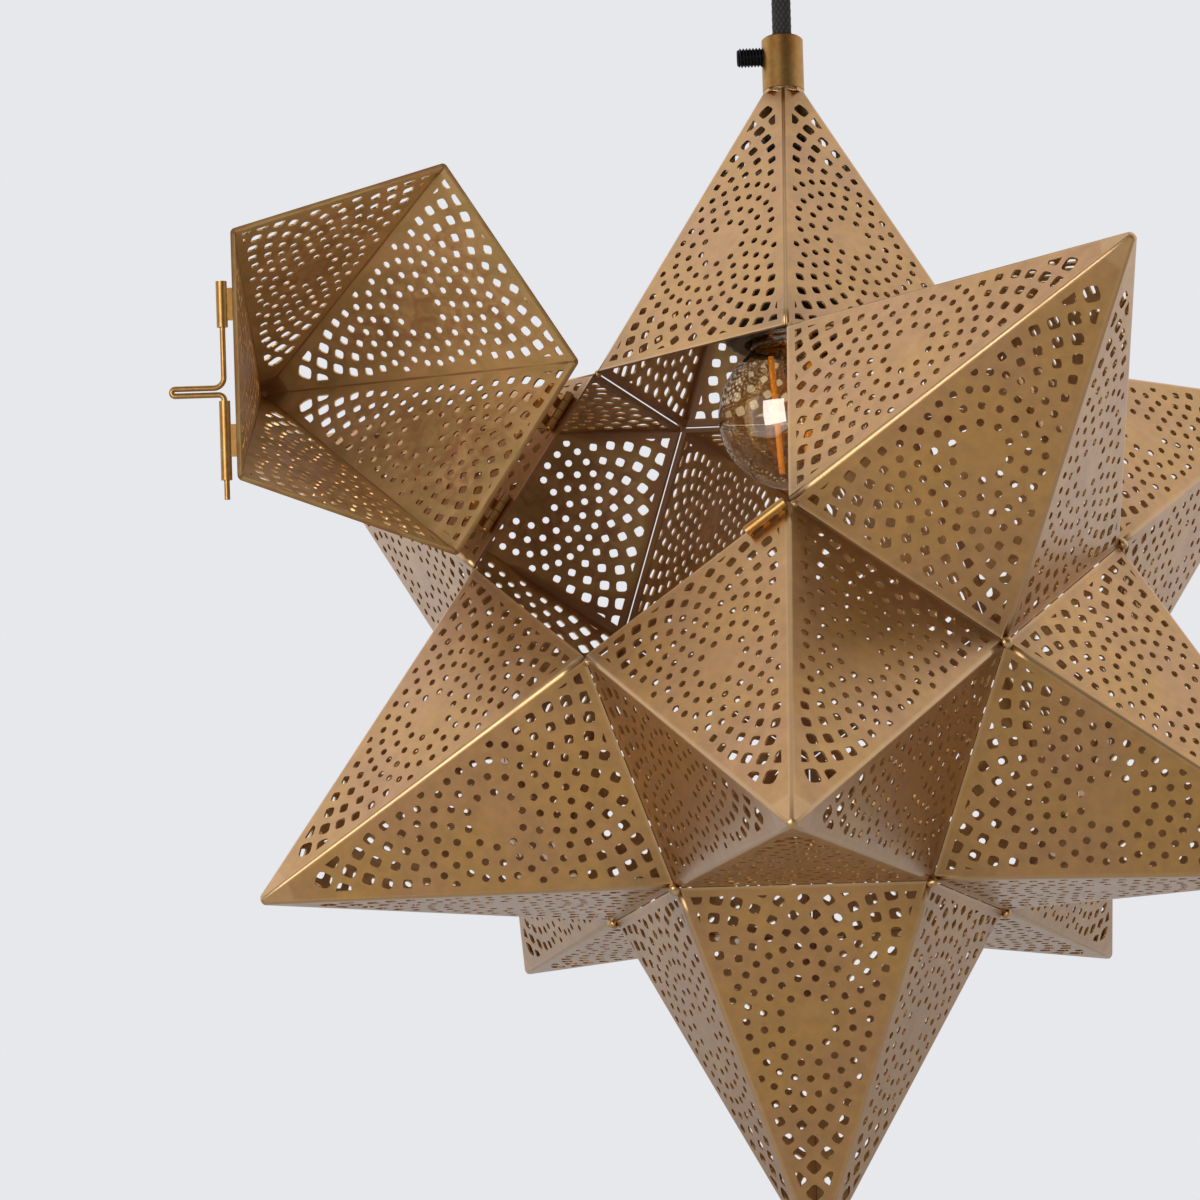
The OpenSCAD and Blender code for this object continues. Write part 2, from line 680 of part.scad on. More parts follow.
// A two-way terminal block, screwed up against the strap
module terminal_block() {
    l = 26;
    w = 12;
    h = block_bottom() - strap_t;
    color("#e8e4da") difference() {
        translate([-l / 2, -w / 2, -block_bottom()]) cube([l, w, h]);
        for (x = [-1, 1]) {
            translate([x * core_d * 0.6, 0, -block_bottom() - 1]) cylinder(h = 1 + eps, d = core_d);
            translate([x * l / 4, 0, -block_bottom() - 1]) cylinder(h = 5, d = 4);
        }
        translate([-0.6, -w, -block_bottom() - 1]) cube([1.2, 2 * w, 3]);
    }
}

module terminal_screws() {
    color("#b9bbbd") for (x = [-1, 1]) translate([x * 26 / 4, 0, -block_bottom() + 0.6]) difference() {
        cylinder(h = 3.4, d = 3.8);
        translate([-3, -0.4, -1]) cube([6, 0.8, 2]);
    }
}

// ---- Lampholder ----

module at_holder() { translate([0, 0, -holder_at]) children(); }

module holder_nipple() {
    color("#b9bbbd") at_holder() translate([0, 0, -nipple_h]) difference() {
        cylinder(h = nipple_h, d = nipple_d);
        translate([0, 0, -1]) cylinder(h = nipple_h + 2, d = nipple_d - 2);
    }
}

// The domed cap screws on the nipple, and the skirt screws on the cap
module holder_cap() {
    neck_r = nipple_d / 2 + 2.6;
    neck_top = 4;
    color(bakelite) at_holder() rotate_extrude() difference() {
        cap_profile(neck_r, neck_top, dome_top, dome_r, cap_r);
        translate([0, -bakelite_t]) intersection() {
            cap_profile(0, neck_top, dome_top, dome_r - bakelite_t, cap_r - bakelite_t);
            translate([0, -cap_h * 2]) square([cap_r, 2 * cap_h - dome_top]);
        }
        translate([0, -cap_h]) square([cap_r - bakelite_t, 4]);
        translate([0, -cap_h]) square([nipple_d / 2 + thread_fit, cap_h]);
    }
}

module cap_profile(neck_r, neck_top, dome_top, dome_r, r) {
    if (neck_r > 0) translate([0, -dome_top - 1]) square([neck_r, dome_top + 1 - neck_top]);
    translate([0, -dome_top - dome_r]) square([r - dome_r, dome_r]);
    intersection() {
        translate([r - dome_r, -dome_top - dome_r]) circle(dome_r);
        translate([0, -cap_h]) square([r, cap_h]);
    }
    translate([0, -cap_h]) square([r, cap_h - dome_top - dome_r]);
}

// The skirt ends in a thick rounded rim; a shelf inside it carries the threaded sleeve
module holder_skirt() {
    t = bakelite_t;
    top_r = cap_r - t - 0.1;
    color(bakelite) at_holder() rotate_extrude() difference() {
        union() {
            polygon([[0, -cap_h + 4], [top_r, -cap_h + 4], [top_r, -cap_h - eps], [0, -cap_h - eps]]);
            polygon(concat([[0, -rim_at], [0, -cap_h], [cap_r, -cap_h], [cap_r + 0.2, -cap_h - 8]],
                [for (a = [0:15:90]) [rim_r, -rim_at] - rim_round * [1 - cos(a), sin(a) - 1]]));
        }
        polygon([[0, -cap_h + 5], [top_r - t, -cap_h + 5], [top_r - t, -sleeve_at], [0, -sleeve_at]]);
        polygon([[0, 0], [sleeve_r + 0.6, 0], [sleeve_r + 0.6, -rim_at - 1], [0, -rim_at - 1]]);
    }
}

// Threaded sleeve that the bulb screws into, down to just above the rim, with a collar round its top
module holder_sleeve() {
    sleeve_l = rim_at - sleeve_at - 1.5;
    color("#c8a45c") at_holder() translate([0, 0, -sleeve_at - sleeve_l]) difference() {
        union() {
            cylinder(h = sleeve_l, r = sleeve_r + 0.5);
            translate([0, 0, sleeve_l]) cylinder(h = 0.6, r = cap_r - 2 * bakelite_t - 0.4);
        }
        translate([0, 0, -1]) cylinder(h = sleeve_l + 2.6, r = sleeve_r);
    }
}

module holder_insulator() {
    foot = sleeve_at - 0.6;
    top = insulator_top() - holder_at;
    color("#e8e4da") at_holder() rotate_extrude()
        polygon([[0, -foot + 3], [4, -foot + 3], [4, -foot], [sleeve_r + 1, -foot],
            [cap_r - 2 * bakelite_t - 0.4, -foot + 2], [cap_r - 2 * bakelite_t - 0.4, -cap_h + 4],
            [9, -top], [0, -top]]);
}

// Springy strip that meets the middle contact of the bulb
module holder_contact() {
    color("#c8a45c") at_holder() translate([0, 0, -sleeve_at + 0.4]) {
        translate([-3, -2, 2.4]) cube([5, 4, 0.8]);
        translate([0, 0, 0.2]) cylinder(h = 2.3, r = 1.6);
    }
}

// ---- Bulb ----

bulb_top = sleeve_at - 0.1;
globe_z = bulb_l - bulb_r;
bulb_cap_l = 27;

module at_bulb() { translate([0, 0, -holder_at - bulb_top]) children(); }

// A globe that runs into a neck
module bulb_form(r, neck_r) {
    join_z = globe_z - r * 0.8;
    translate([0, 0, -globe_z]) sphere(r);
    rotate_extrude() polygon([[0, -bulb_cap_l + 2], [neck_r, -bulb_cap_l + 2], [neck_r, -bulb_cap_l - 4],
        [r * 0.6, -join_z], [0, -join_z]]);
}

module bulb_glass() {
    neck_r = bulb_cap_r - 0.5;
    color([0.9, 0.9, 0.85, 0.35]) at_bulb() difference() {
        bulb_form(bulb_r, neck_r);
        bulb_form(bulb_r - glass_t, neck_r - glass_t);
        translate([0, 0, -bulb_cap_l]) cylinder(h = 3, r = neck_r - glass_t);
    }
}

// The screw cap is thin sheet, open below round the neck of the glass
module bulb_cap() {
    t = 0.3;
    color("#c8a45c") at_bulb() rotate_extrude() difference() {
        polygon([[0, -3.4], [9.4, -3.4], [bulb_cap_r, -6], [bulb_cap_r, -bulb_cap_l], [0, -bulb_cap_l]]);
        polygon([[0, -3.4 - t], [9.4 - t, -3.4 - t], [bulb_cap_r - t, -6 - t / 2],
            [bulb_cap_r - t, -bulb_cap_l - 1], [0, -bulb_cap_l - 1]]);
        translate([0, -4]) square([6, 2]);
    }
}

module bulb_insulator() {
    color("#20242c") at_bulb() rotate_extrude()
        polygon([[0, -5], [6, -5], [6, -3.4], [8.6, -3.4], [5, -1], [0, -1]]);
}

module bulb_contact() {
    color("#c9cacb") at_bulb() translate([0, 0, -1]) cylinder(h = 0.9, r = 4);
}

// Glass stem that carries the filaments, with a wire ring at each end of them
module bulb_stem() {
    top = bulb_cap_l;
    low = globe_z + filament_l / 2 - 2;
    color([0.9, 0.9, 0.85, 0.6]) at_bulb() {
        rotate_extrude() polygon([[0, -top], [bulb_cap_r - 2.2, -top], [bulb_cap_r - 4, -top - 3],
            [4, -top - 6], [3, -top - 14], [1.6, -top - 18], [1.6, -low], [0, -low - 1]]);
        for (k = [0:n_filaments - 1]) rotate(45 + k * 360 / n_filaments) {
            translate([0, 0, -low + 1.5]) rotate([0, 90, 0])
                cylinder(h = filament_low_r - filament_d / 2, d = 0.8);
            translate([0, 0, -filament_top() - 0.6]) rotate([0, 90, 0])
                cylinder(h = filament_high_r - filament_d / 2 - 0.15, d = 0.8);
        }
    }
}

function filament_top() = globe_z - filament_l / 2 + 0.4;

module bulb_filaments() {
    lean = atan((filament_high_r - filament_low_r) / filament_l);
    color("#f0b43c") at_bulb() for (k = [0:n_filaments - 1]) rotate(45 + k * 360 / n_filaments)
        translate([filament_low_r, 0, -globe_z - filament_l / 2]) rotate([0, lean, 0])
            cylinder(h = filament_l / cos(lean), d = filament_d);
}

for (p = FIXED_POINTS) fixed_point(p);
corner_solder();
door_point();
door_hinge_leaves();
door_bolt_tubes();
bolt_rod();
star_hinge_leaves();
hinge_pins();
bolt_keeper_tube();
collar();
collar_solder();
clamp_screw();
cord();
cord_cores();
rose_cup();
rose_strap();
rose_side_screws();
cord_grip();
grip_nut();
terminal_block();
terminal_screws();
holder_nipple();
holder_cap();
holder_skirt();
holder_sleeve();
holder_insulator();
holder_contact();
bulb_glass();
bulb_cap();
bulb_insulator();
bulb_contact();
bulb_stem();
bulb_filaments();
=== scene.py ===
"""A pierced star lantern: the visible pieces, built round the frame that the CAD model gives.

Shapes are worked out in millimetres and made in metres, in the frame of the CAD model. The origin
is on the ceiling, above the middle of the star.
"""

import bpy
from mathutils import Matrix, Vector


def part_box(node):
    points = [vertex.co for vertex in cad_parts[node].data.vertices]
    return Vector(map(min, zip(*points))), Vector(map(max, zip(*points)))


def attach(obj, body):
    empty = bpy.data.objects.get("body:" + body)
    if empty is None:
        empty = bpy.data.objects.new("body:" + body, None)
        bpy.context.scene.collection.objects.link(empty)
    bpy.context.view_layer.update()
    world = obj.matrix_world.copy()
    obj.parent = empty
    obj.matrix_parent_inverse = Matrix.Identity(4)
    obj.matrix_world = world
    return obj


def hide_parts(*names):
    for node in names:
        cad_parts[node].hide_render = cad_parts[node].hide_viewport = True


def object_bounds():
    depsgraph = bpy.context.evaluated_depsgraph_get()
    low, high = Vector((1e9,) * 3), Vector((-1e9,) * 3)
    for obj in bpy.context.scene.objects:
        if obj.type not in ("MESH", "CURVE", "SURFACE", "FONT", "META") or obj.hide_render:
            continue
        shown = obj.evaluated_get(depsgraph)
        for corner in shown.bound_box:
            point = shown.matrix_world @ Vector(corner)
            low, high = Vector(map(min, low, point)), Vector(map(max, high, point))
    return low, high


bl_info = {
    "name": "Pierced star lantern",
    "version": (1, 0, 0),
    "blender": (4, 5, 0),
    "location": "3D View > Sidebar > Lantern",
    "description": "Builds a hanging star lantern of pierced brass sheet, piece by piece",
    "category": "Object",
}

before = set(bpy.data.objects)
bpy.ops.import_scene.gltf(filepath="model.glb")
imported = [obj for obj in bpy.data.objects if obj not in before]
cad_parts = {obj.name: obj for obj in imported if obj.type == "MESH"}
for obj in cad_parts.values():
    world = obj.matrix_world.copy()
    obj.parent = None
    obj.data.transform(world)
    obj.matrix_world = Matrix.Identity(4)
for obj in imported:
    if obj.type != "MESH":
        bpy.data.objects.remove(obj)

import math
from types import SimpleNamespace

import bpy
from bpy.props import FloatProperty, FloatVectorProperty, IntProperty, PointerProperty
from mathutils import Matrix, Vector, noise
from mathutils.geometry import delaunay_2d_cdt

CAD_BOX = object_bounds()
MM = 0.001

# Angle in degrees from one of the five walls of a point to the next, and half of it
WALL_STEP = 72
HALF_STEP = 36
# Each point round the star: its azimuth, whether it rises or falls, and its turn about its own axis
DOOR_POINT = (-36, 1, 0)
FIXED_POINTS = {"upper_point_front_right": (36, 1, 0), "upper_point_right": (108, 1, 0),
                "upper_point_back": (180, 1, 0), "upper_point_left": (-108, 1, 0),
                "lower_point_front": (0, -1, 180), "lower_point_front_right": (72, -1, 180),
                "lower_point_back_right": (144, -1, 180), "lower_point_back_left": (-144, -1, 180),
                "lower_point_front_left": (-72, -1, 180)}
# Numbers of the three finishes of a point
OUTSIDE, INSIDE, CUT = 0, 1, 2

# Holes in the first rings, and in each of the others
FIRST_RINGS = {1: 10, 2: 16, 3: 24}
LATER_RINGS = 32
# How round the corners of a diamond hole are, as a share of its half width
SOFT_CORNER = 0.45
# A hole is left out if its middle lies beyond the border by this share of its half width, less a sliver
BEYOND = 0.84
SLIVER = 0.5
# The shortest side that the outline of a hole may keep, in millimetres
SHORT_SIDE = 0.12

# Parts of a wall along its sides and along its base
SIDE_STEPS = 14
BASE_STEPS = 10
# Where the points round a fold lie, from one wall to the next: close together beside its middle
FOLD_STEPS = (0.17, 0.34, 0.46, 0.5, 0.54, 0.66, 0.83)
# The fold, and the step in its middle, where the sheet meets itself
SEAM_FOLD = 2
SEAM_STEP = 3
# Depth in millimetres of the seam on the points where it is soldered shut
SHUT_SEAM = 0.06
# Height in millimetres of the solder on a tip, and the widths of its rings as shares of its foot
TIP_DOME_H = 0.55
TIP_DOME_RINGS = (0.78, 0.45)

# The corners of CAD pieces sharper than this many degrees are softened
SHARP = 35
# Points round a screw thread, and steps along each of its turns
THREAD_AROUND = 48
THREAD_STEPS = 12
# Depth of a thread as a share of its pitch, and how steep its flanks are
THREAD_DEPTH = 0.61
THREAD_FLANK = 1.2
# Points round a lump of solder and rows up it, and how uneven it froze
LUMP_AROUND = 20
LUMP_ROWS = 11
LUMP_SWELL = 0.22

# The camera: lens in millimetres, place in metres from the middle of the star, and turn in degrees
CAMERA_LENS = 114.18
CAMERA_PLACE = (0.02259, -1.11373, -0.2319)
CAMERA_TURN = (102.445, 0.9927, 4.4354)
# Each soft box: azimuth from the front and height above the star's middle in degrees, distance, width
# and height in metres, and power in watts
SOFT_BOXES = {"front_box": (-28, -12, 1.6, 1.0, 1.6, 16),
              "left_box": (-100, 48, 1.5, 1.0, 1.0, 0.8),
              "right_box": (100, 50, 1.5, 1.0, 1.0, 0.5)}
# The studio turns from shaded to pale between these directions along Y, where -1 is behind the camera
PALE_FROM, PALE_TO = -0.8, 0.1


# ---- Sizes and colours ----

def length(mm, name, description):
    """A length that a user can set, given in millimetres."""
    return FloatProperty(name=name, description=description, default=mm * MM, min=0, precision=5,
                         unit="LENGTH")


def angle(degrees, name, description):
    """An angle that a user can set, given in degrees."""
    return FloatProperty(name=name, description=description, default=math.radians(degrees),
                         subtype="ANGLE")


def count(number, name, description, **limits):
    """A whole number that a user can set."""
    return IntProperty(name=name, description=description, default=number, **limits)


def linear(code):
    """An sRGB hex colour as linear red, green and blue."""
    parts = [int(code[i:i + 2], 16) / 255 for i in (1, 3, 5)]
    return tuple(p / 12.92 if p <= 0.04045 else ((p + 0.055) / 1.055) ** 2.4 for p in parts)


def colour(code, name, description):
    """A colour that a user can set, given as an sRGB hex code."""
    return FloatVectorProperty(name=name, description=description, default=linear(code), size=3,
                               min=0, max=1, subtype="COLOR")


class LANTERN_PG_star(bpy.types.PropertyGroup):
    edge: length(72, "Base edge", "Length of each base edge of a point")
    point_h: length(103, "Point height", "Height of a point above its base, if it ran out to a sharp tip")
    sheet: length(0.6, "Sheet", "Thickness of the brass sheet")
    seam_gap: length(0.4, "Seam gap", "Gap between two points along their base edges")
    hem: length(2.6, "Hem", "Width of the hem folded back inside along the base edges")
    fold_r: length(1.7, "Fold radius", "Outside radius of the folds at the base of a point")
    tip_fold_r: length(0.9, "Fold radius at the tip", "Outside radius of the folds at the tip")
    tip_r: length(1.35, "Tip radius", "Distance from the axis of a point to its walls at the tip")
    top_cut_r: length(5.2, "Cut radius",
                      "Distance from the axis to the walls where the top point is cut off")
    seam: length(0.22, "Open seam",
                 "Depth of the groove where the sheet of the top point meets itself")


class LANTERN_PG_piercing(bpy.types.PropertyGroup):
    margin: length(3, "Border", "Plain border left along the edges of each wall")
    medal_h: length(40.6, "Height of the middle", "Height of the middle of the rings above the base edge")
    n_rings: count(11, "Rings", "Number of rings of holes", min=1, max=12)
    ring_1_r: length(8.1, "First ring", "Radius of the innermost ring")
    ring_step: length(4.7, "Ring step", "Step from ring to ring in the middle")
    outer_step: length(4, "Outer step", "Step from ring to ring outside the middle rings")
    middle_rings: count(7, "Middle rings", "Number of middle rings", min=1)
    round_rings: count(4, "Round rings", "Rings whose holes are round", min=0)
    small_hole: length(2.3, "Small hole", "Diameter of the round holes")
    large_hole: length(5.3, "Large hole", "Size across the corners of the holes of the last ring")


class LANTERN_PG_door(bpy.types.PropertyGroup):
    open_angle: angle(106, "Opening", "Angle to which the door stands open")
    hinge_out: length(3.2, "Hinge out", "Distance of the hinge axis outside the base edge")
    hinge_up: length(1.5, "Hinge up", "Height of the hinge axis above the base")


class LANTERN_PG_cord(bpy.types.PropertyGroup):
    cord_d: length(6, "Cord", "Outside diameter of the braided cord")
    strands: count(12, "Strands", "Bundles of yarn round the cord each way", min=4)
    lay: length(1.25, "Lay", "Length of one crossing of the braid")
    relief: length(0.22, "Relief", "Height of the yarn over the gaps of the braid")
    thread_pitch: length(1, "Thread pitch", "Pitch of the clamp screw's thread")
    slot_w: length(1, "Slot", "Width of the slot in the end of the clamp screw")
    slot_depth: length(1.6, "Slot depth", "Depth of the slot in the end of the clamp screw")


class LANTERN_PG_solder(bpy.types.PropertyGroup):
    corner_r: length(1.8, "Corner lump", "Half width of the lump of solder on each corner of the star")
    door_r: length(1.4, "Door lump", "Half width of the lumps on the corners round the door")
    proud: length(0.8, "Proud", "Height of the middle of the lumps above the corners")
    collar_h: length(1.7, "Collar solder", "Height of the solder under the collar")
    collar_bulge: length(0.35, "Collar bulge", "How far the solder under the collar stands proud")


class LANTERN_PG_bulb(bpy.types.PropertyGroup):
    glass: length(0.6, "Glass", "Thickness of the glass")
    neck_gap: length(0.5, "Neck gap", "How much smaller the neck is than the cap round it")
    flare: FloatProperty(name="Flare", description="Sharpness of the turn from globe to neck",
                         default=12, min=2)


class LANTERN_PG_colours(bpy.types.PropertyGroup):
    brass: colour("#C5944F", "Brass", "Rubbed outside of the sheet")
    brass_rose: colour("#C08F5A", "Rosy brass", "Warmer clouds in the rubbed outside")
    # This colour is also a painted highlight along the folds, besides their wear
    brass_worn: colour("#E0BA86", "Worn brass", "Folds rubbed a little brighter")
    brass_cut: colour("#DDB67C", "Cut brass", "Cut edges of the sheet and of its holes")
    brass_inside: colour("#DDB178", "Inside brass", "Untouched inside of the sheet")
    brass_olive: colour("#BE9C60", "Olive brass", "Greyer clouds on the inside of the sheet")
    brass_brown: colour("#A87048", "Browned brass", "Stains in the middle of the walls' insides")
    brass_red: colour("#9C5C34", "Red heat tint", "Inside of the sheet beside the soldered joints")
    brass_plum: colour("#74402F", "Plum heat tint", "Inside of the sheet at the soldered joints")
    brass_straw: colour("#B08A45", "Straw heat tint", "Inside of the sheet round the heated places")
    brass_turned: colour("#BC884B", "Turned brass", "Collar, tubes and hinges")
    solder: colour("#E6C696", "Solder", "Hard solder at the joints")
    # The yarn is painted lighter on top of each bundle, and the dark yarn is painted shade in the gaps of
    # the braid
    yarn: colour("#4C4846", "Yarn", "Lighter yarn of the cord")
    yarn_dark: colour("#262324", "Dark yarn", "Gaps of the braid")
    glass: colour("#FBEBCB", "Glass", "Tint of the bulb's glass")
    phosphor: colour("#F0A01C", "Phosphor", "Coating of the filaments")


class LANTERN_PG_stage(bpy.types.PropertyGroup):
    floor_drop: length(420, "Floor drop", "Distance of the floor below the lowest point")
    floor_size: length(9000, "Floor size", "Width of the floor")
    pale: colour("#E7E8EC", "Studio", "Pale surroundings")
    shade: colour("#5E5B58", "Shaded studio", "Surroundings on the camera's side")
    floor: colour("#C4C2BE", "Floor", "Painted floor")


class LANTERN_PG_settings(bpy.types.PropertyGroup):
    star: PointerProperty(type=LANTERN_PG_star)
    piercing: PointerProperty(type=LANTERN_PG_piercing)
    door: PointerProperty(type=LANTERN_PG_door)
    cord: PointerProperty(type=LANTERN_PG_cord)
    solder: PointerProperty(type=LANTERN_PG_solder)
    bulb: PointerProperty(type=LANTERN_PG_bulb)
    colours: PointerProperty(type=LANTERN_PG_colours)
    stage: PointerProperty(type=LANTERN_PG_stage)


def in_mm(group):
    """The sizes of a group as plain numbers: lengths in millimetres and angles in degrees."""
    sizes = SimpleNamespace()
    for p in group.bl_rna.properties:
        if p.type in {"FLOAT", "INT"} and not getattr(p, "is_array", False):
            value = getattr(group, p.identifier)
            if p.unit == "LENGTH":
                value /= MM
            elif p.subtype == "ANGLE":
                value = math.degrees(value)
            setattr(sizes, p.identifier, value)
    return sizes


def box_mm(node):
    """Lowest and highest corner of a CAD node, in millimetres."""
    low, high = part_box(node)
    return Vector(low) / MM, Vector(high) / MM


# ---- Materials ----

def add(tree, kind, sockets=(), **settings):
    """Adds a shader node with its settings and what its sockets hold; a node stands for its result."""
    made = tree.nodes.new("ShaderNode" + kind)
    for name, value in settings.items():
        setattr(made, name, value)
    for name, value in dict(sockets).items():
        if isinstance(value, bpy.types.Node):
            value = next(result for result in value.outputs if result.enabled)
        if isinstance(value, bpy.types.NodeSocket):
            tree.links.new(value, made.inputs[name])
        elif made.inputs[name].type == "RGBA":
            made.inputs[name].default_value = (*value, 1)
        else:
            made.inputs[name].default_value = value
    return made


def grains(size):
    """The scale at which one grain or cloud of a texture is that many millimetres wide."""
    return 1 / (size * MM)


def patches(tree, place, size, detail, spread, to=(0.0, 1.0), distortion=0.0):
    """Soft patches of a size in millimetres: between the two noise levels of spread, they give to."""
    clouds = add(tree, "TexNoise", {"Vector": place, "Scale": grains(size), "Detail": detail,
                                    "Distortion": distortion})
    return add(tree, "MapRange", {"Value": clouds, "From Min": spread[0], "From Max": spread[1],
                                  "To Min": to[0], "To Max": to[1]})


def relief(tree, place, size, detail, depth, **under):
    """A rough skin, with grains of a size and a depth in millimetres."""
    grit = add(tree, "TexNoise", {"Vector": place, "Scale": grains(size), "Detail": detail})
    return add(tree, "Bump", {"Height": grit, "Distance": depth * MM, "Strength": 1.0, **under})


def two_toned(tree, place, tones, patch, spread, grain, surface):
    """A surface of two tones in soft patches, with a rough skin.

    patch is the size of the patches and the detail of their outline, spread the two noise levels
    between which one tone turns into the other, and grain the size, detail and depth of the skin.
    """
    share = patches(tree, place, *patch, spread)
    tone = add(tree, "Mix", {0: share, 6: tones[0], 7: tones[1]}, data_type="RGBA")
    skin = relief(tree, place, *grain)
    return add(tree, "BsdfPrincipled", {"Base Color": tone, "Normal": skin, **surface})


def rubbed_brass(tree, place, c):
    """Brass sheet, aged, rubbed by hand and lacquered: satin, softly clouded, paler along its folds."""
    rim = add(tree, "Attribute", attribute_name="rim").outputs["Fac"]
    rosy = patches(tree, place, 24, 3.0, (0.38, 0.62))
    tone = add(tree, "Mix", {0: rosy, 6: c.brass, 7: c.brass_rose}, data_type="RGBA")
    dulled = patches(tree, place, 3.5, 4.0, (0.3, 0.7), (0.88, 1.06))
    # Darker towards the soldered corners, where the points meet: painted shade in these hollows
    corner = add(tree, "Attribute", attribute_name="joint").outputs["Fac"]
    # Painted shade: up to about a quarter darker near the corners
    painted_corner_shade = add(tree, "MapRange", {"Value": corner, "From Min": 2.0, "From Max": 22.0,
                                     "To Min": 0.72, "To Max": 1.0})
    dulled_and_shaded = add(tree, "Math", {0: dulled, 1: painted_corner_shade}, operation="MULTIPLY")
    aged = add(tree, "VectorMath", {0: tone, 3: dulled_and_shaded}, operation="SCALE")
    # Paler along the folds, for about a millimetre on each side: partly patina rubbed off, partly a painted
    # highlight where the rounded folds catch the light
    fold_wear_and_highlight = add(tree, "MapRange", {"Value": rim, "From Min": 0.1, "From Max": 1.3,
                                  "To Min": 0.6, "To Max": 0.0})
    colour_out = add(tree, "Mix", {0: fold_wear_and_highlight, 6: aged, 7: c.brass_worn}, data_type="RGBA")
    # Grit of about 0.25 mm, drawn at 0.5 mm so that it shows
    fine = relief(tree, place, 0.5, 2.0, 0.004)
    # The sheet isn't flat: shallow waves from cutting and folding
    waves = relief(tree, place, 17, 1.0, 0.25, Normal=fine)
    rough = patches(tree, place, 9, 3.0, (0.3, 0.7), (0.33, 0.42))
    return add(tree, "BsdfPrincipled", {"Base Color": colour_out, "Metallic": 1.0, "Roughness": rough,
                                        "Coat Weight": 1.0, "Coat Roughness": 0.3, "Normal": waves})


def heat_toned_brass(tree, place, c):
    """Inside of the sheet, as the torch left it: golden brown, with red and plum beside the joints."""
    rim = add(tree, "Attribute", attribute_name="rim").outputs["Fac"]
    corner = add(tree, "Attribute", attribute_name="joint").outputs["Fac"]
    clouds = add(tree, "TexNoise", {"Vector": place, "Scale": grains(13), "Detail": 4.0,
                                    "Distortion": 0.6})
    olive = add(tree, "MapRange", {"Value": clouds, "From Min": 0.36, "From Max": 0.64})
    gold = add(tree, "Mix", {0: olive, 6: c.brass_inside, 7: c.brass_olive}, data_type="RGBA")
    # The middle of a wall browned more than the metal beside its folds
    stained = patches(tree, place, 5, 5.0, (0.4, 0.65), (0.1, 0.75), 1.0)
    inwards = add(tree, "MapRange", {"Value": rim, "From Min": 3.0, "From Max": 13.0})
    brown = add(tree, "Math", {0: stained, 1: inwards}, operation="MULTIPLY")
    plain = add(tree, "Mix", {0: brown, 6: gold, 7: c.brass_brown}, data_type="RGBA")
    # The tints lie along the folds, wider towards the corners where the torch stood longest
    reach = add(tree, "MapRange", {"Value": corner, "From Min": 0.0, "From Max": 45.0,
                                   "To Min": 17.0, "To Max": 1.0})
    wander = add(tree, "MapRange", {"Value": clouds, "From Min": 0.3, "From Max": 0.7,
                                    "To Min": -0.35, "To Max": 0.35})
    near = add(tree, "Math", {0: rim, 1: reach}, operation="DIVIDE")
    band = add(tree, "Math", {0: near, 1: wander}, operation="ADD")
    tint = add(tree, "ValToRGB", {0: band})
    stops = ((0.05, c.brass_plum), (0.3, c.brass_red), (0.6, c.brass_straw), (1.0, c.brass_inside))
    tint.color_ramp.elements.new(0.3)
    tint.color_ramp.elements.new(0.6)
    for stop, (at, shade) in zip(tint.color_ramp.elements, stops):
        stop.position = at
        stop.color = (*shade, 1)
    share = add(tree, "MapRange", {"Value": band, "From Min": 0.5, "From Max": 1.0,
                                   "To Min": 0.7, "To Max": 0.0})
    tone = add(tree, "Mix", {0: share, 6: plain, 7: tint.outputs["Color"]}, data_type="RGBA")
    fine = relief(tree, place, 0.5, 2.0, 0.004)
    rough = add(tree, "MapRange", {"Value": clouds, "From Min": 0.3, "From Max": 0.7,
                                   "To Min": 0.36, "To Max": 0.5})
    # The thin brown oxide scatters the light, so the inside looks less like a metal than the outside
    return add(tree, "BsdfPrincipled", {"Base Color": tone, "Metallic": 0.25, "Roughness": rough,
                                        "Normal": fine})


def sawn_brass(tree, place, c):
    """Cut edges of the sheet and of its holes: browned, with fine lines left by the saw."""
    return two_toned(tree, place, (c.brass_cut, c.brass_inside),
                     (2.5, 3.0), (0.3, 0.7), (0.35, 2.0, 0.01),
                     {"Metallic": 1.0, "Roughness": 0.28})


def turned_brass(tree, place, c):
    """Drawn and turned brass, aged: satin, with faint marks left by the tool."""
    share = patches(tree, place, 7, 4.0, (0.35, 0.65), (0.0, 0.6))
    tone = add(tree, "Mix", {0: share, 6: c.brass_turned, 7: c.brass_olive}, data_type="RGBA")
    dulled = patches(tree, place, 1.6, 3.0, (0.3, 0.7), (0.86, 1.08))
    aged = add(tree, "VectorMath", {0: tone, 3: dulled}, operation="SCALE")
    # Tool marks lie about 0.1 mm apart, drawn at 0.4 mm so that they show
    drawn = add(tree, "VectorMath", {0: place, 1: (0.3, 0.3, 2.5)}, operation="MULTIPLY")
    marks = relief(tree, drawn, 1, 2.0, 0.006)
    return add(tree, "BsdfPrincipled", {"Base Color": aged, "Metallic": 1.0, "Roughness": 0.36,
                                        "Normal": marks})


def hard_solder(tree, place, c):
    """Brass solder as it froze: small rounded lumps, brighter and yellower than the sheet."""
    return two_toned(tree, place, (c.solder, c.brass_rose),
                     (1.4, 3.0), (0.35, 0.65), (0.8, 3.0, 0.12),
                     {"Metallic": 1.0, "Roughness": 0.3})


def blacked_steel(tree, place, c):
    """Oxide blacked screw: black with a dull sheen, a little greyer where it is handled."""
    return two_toned(tree, place, (linear("#19191B"), linear("#303036")),
                     (0.8, 3.0), (0.4, 0.7), (0.3, 2.0, 0.01),
                     {"Metallic": 0.6, "Roughness": 0.42})


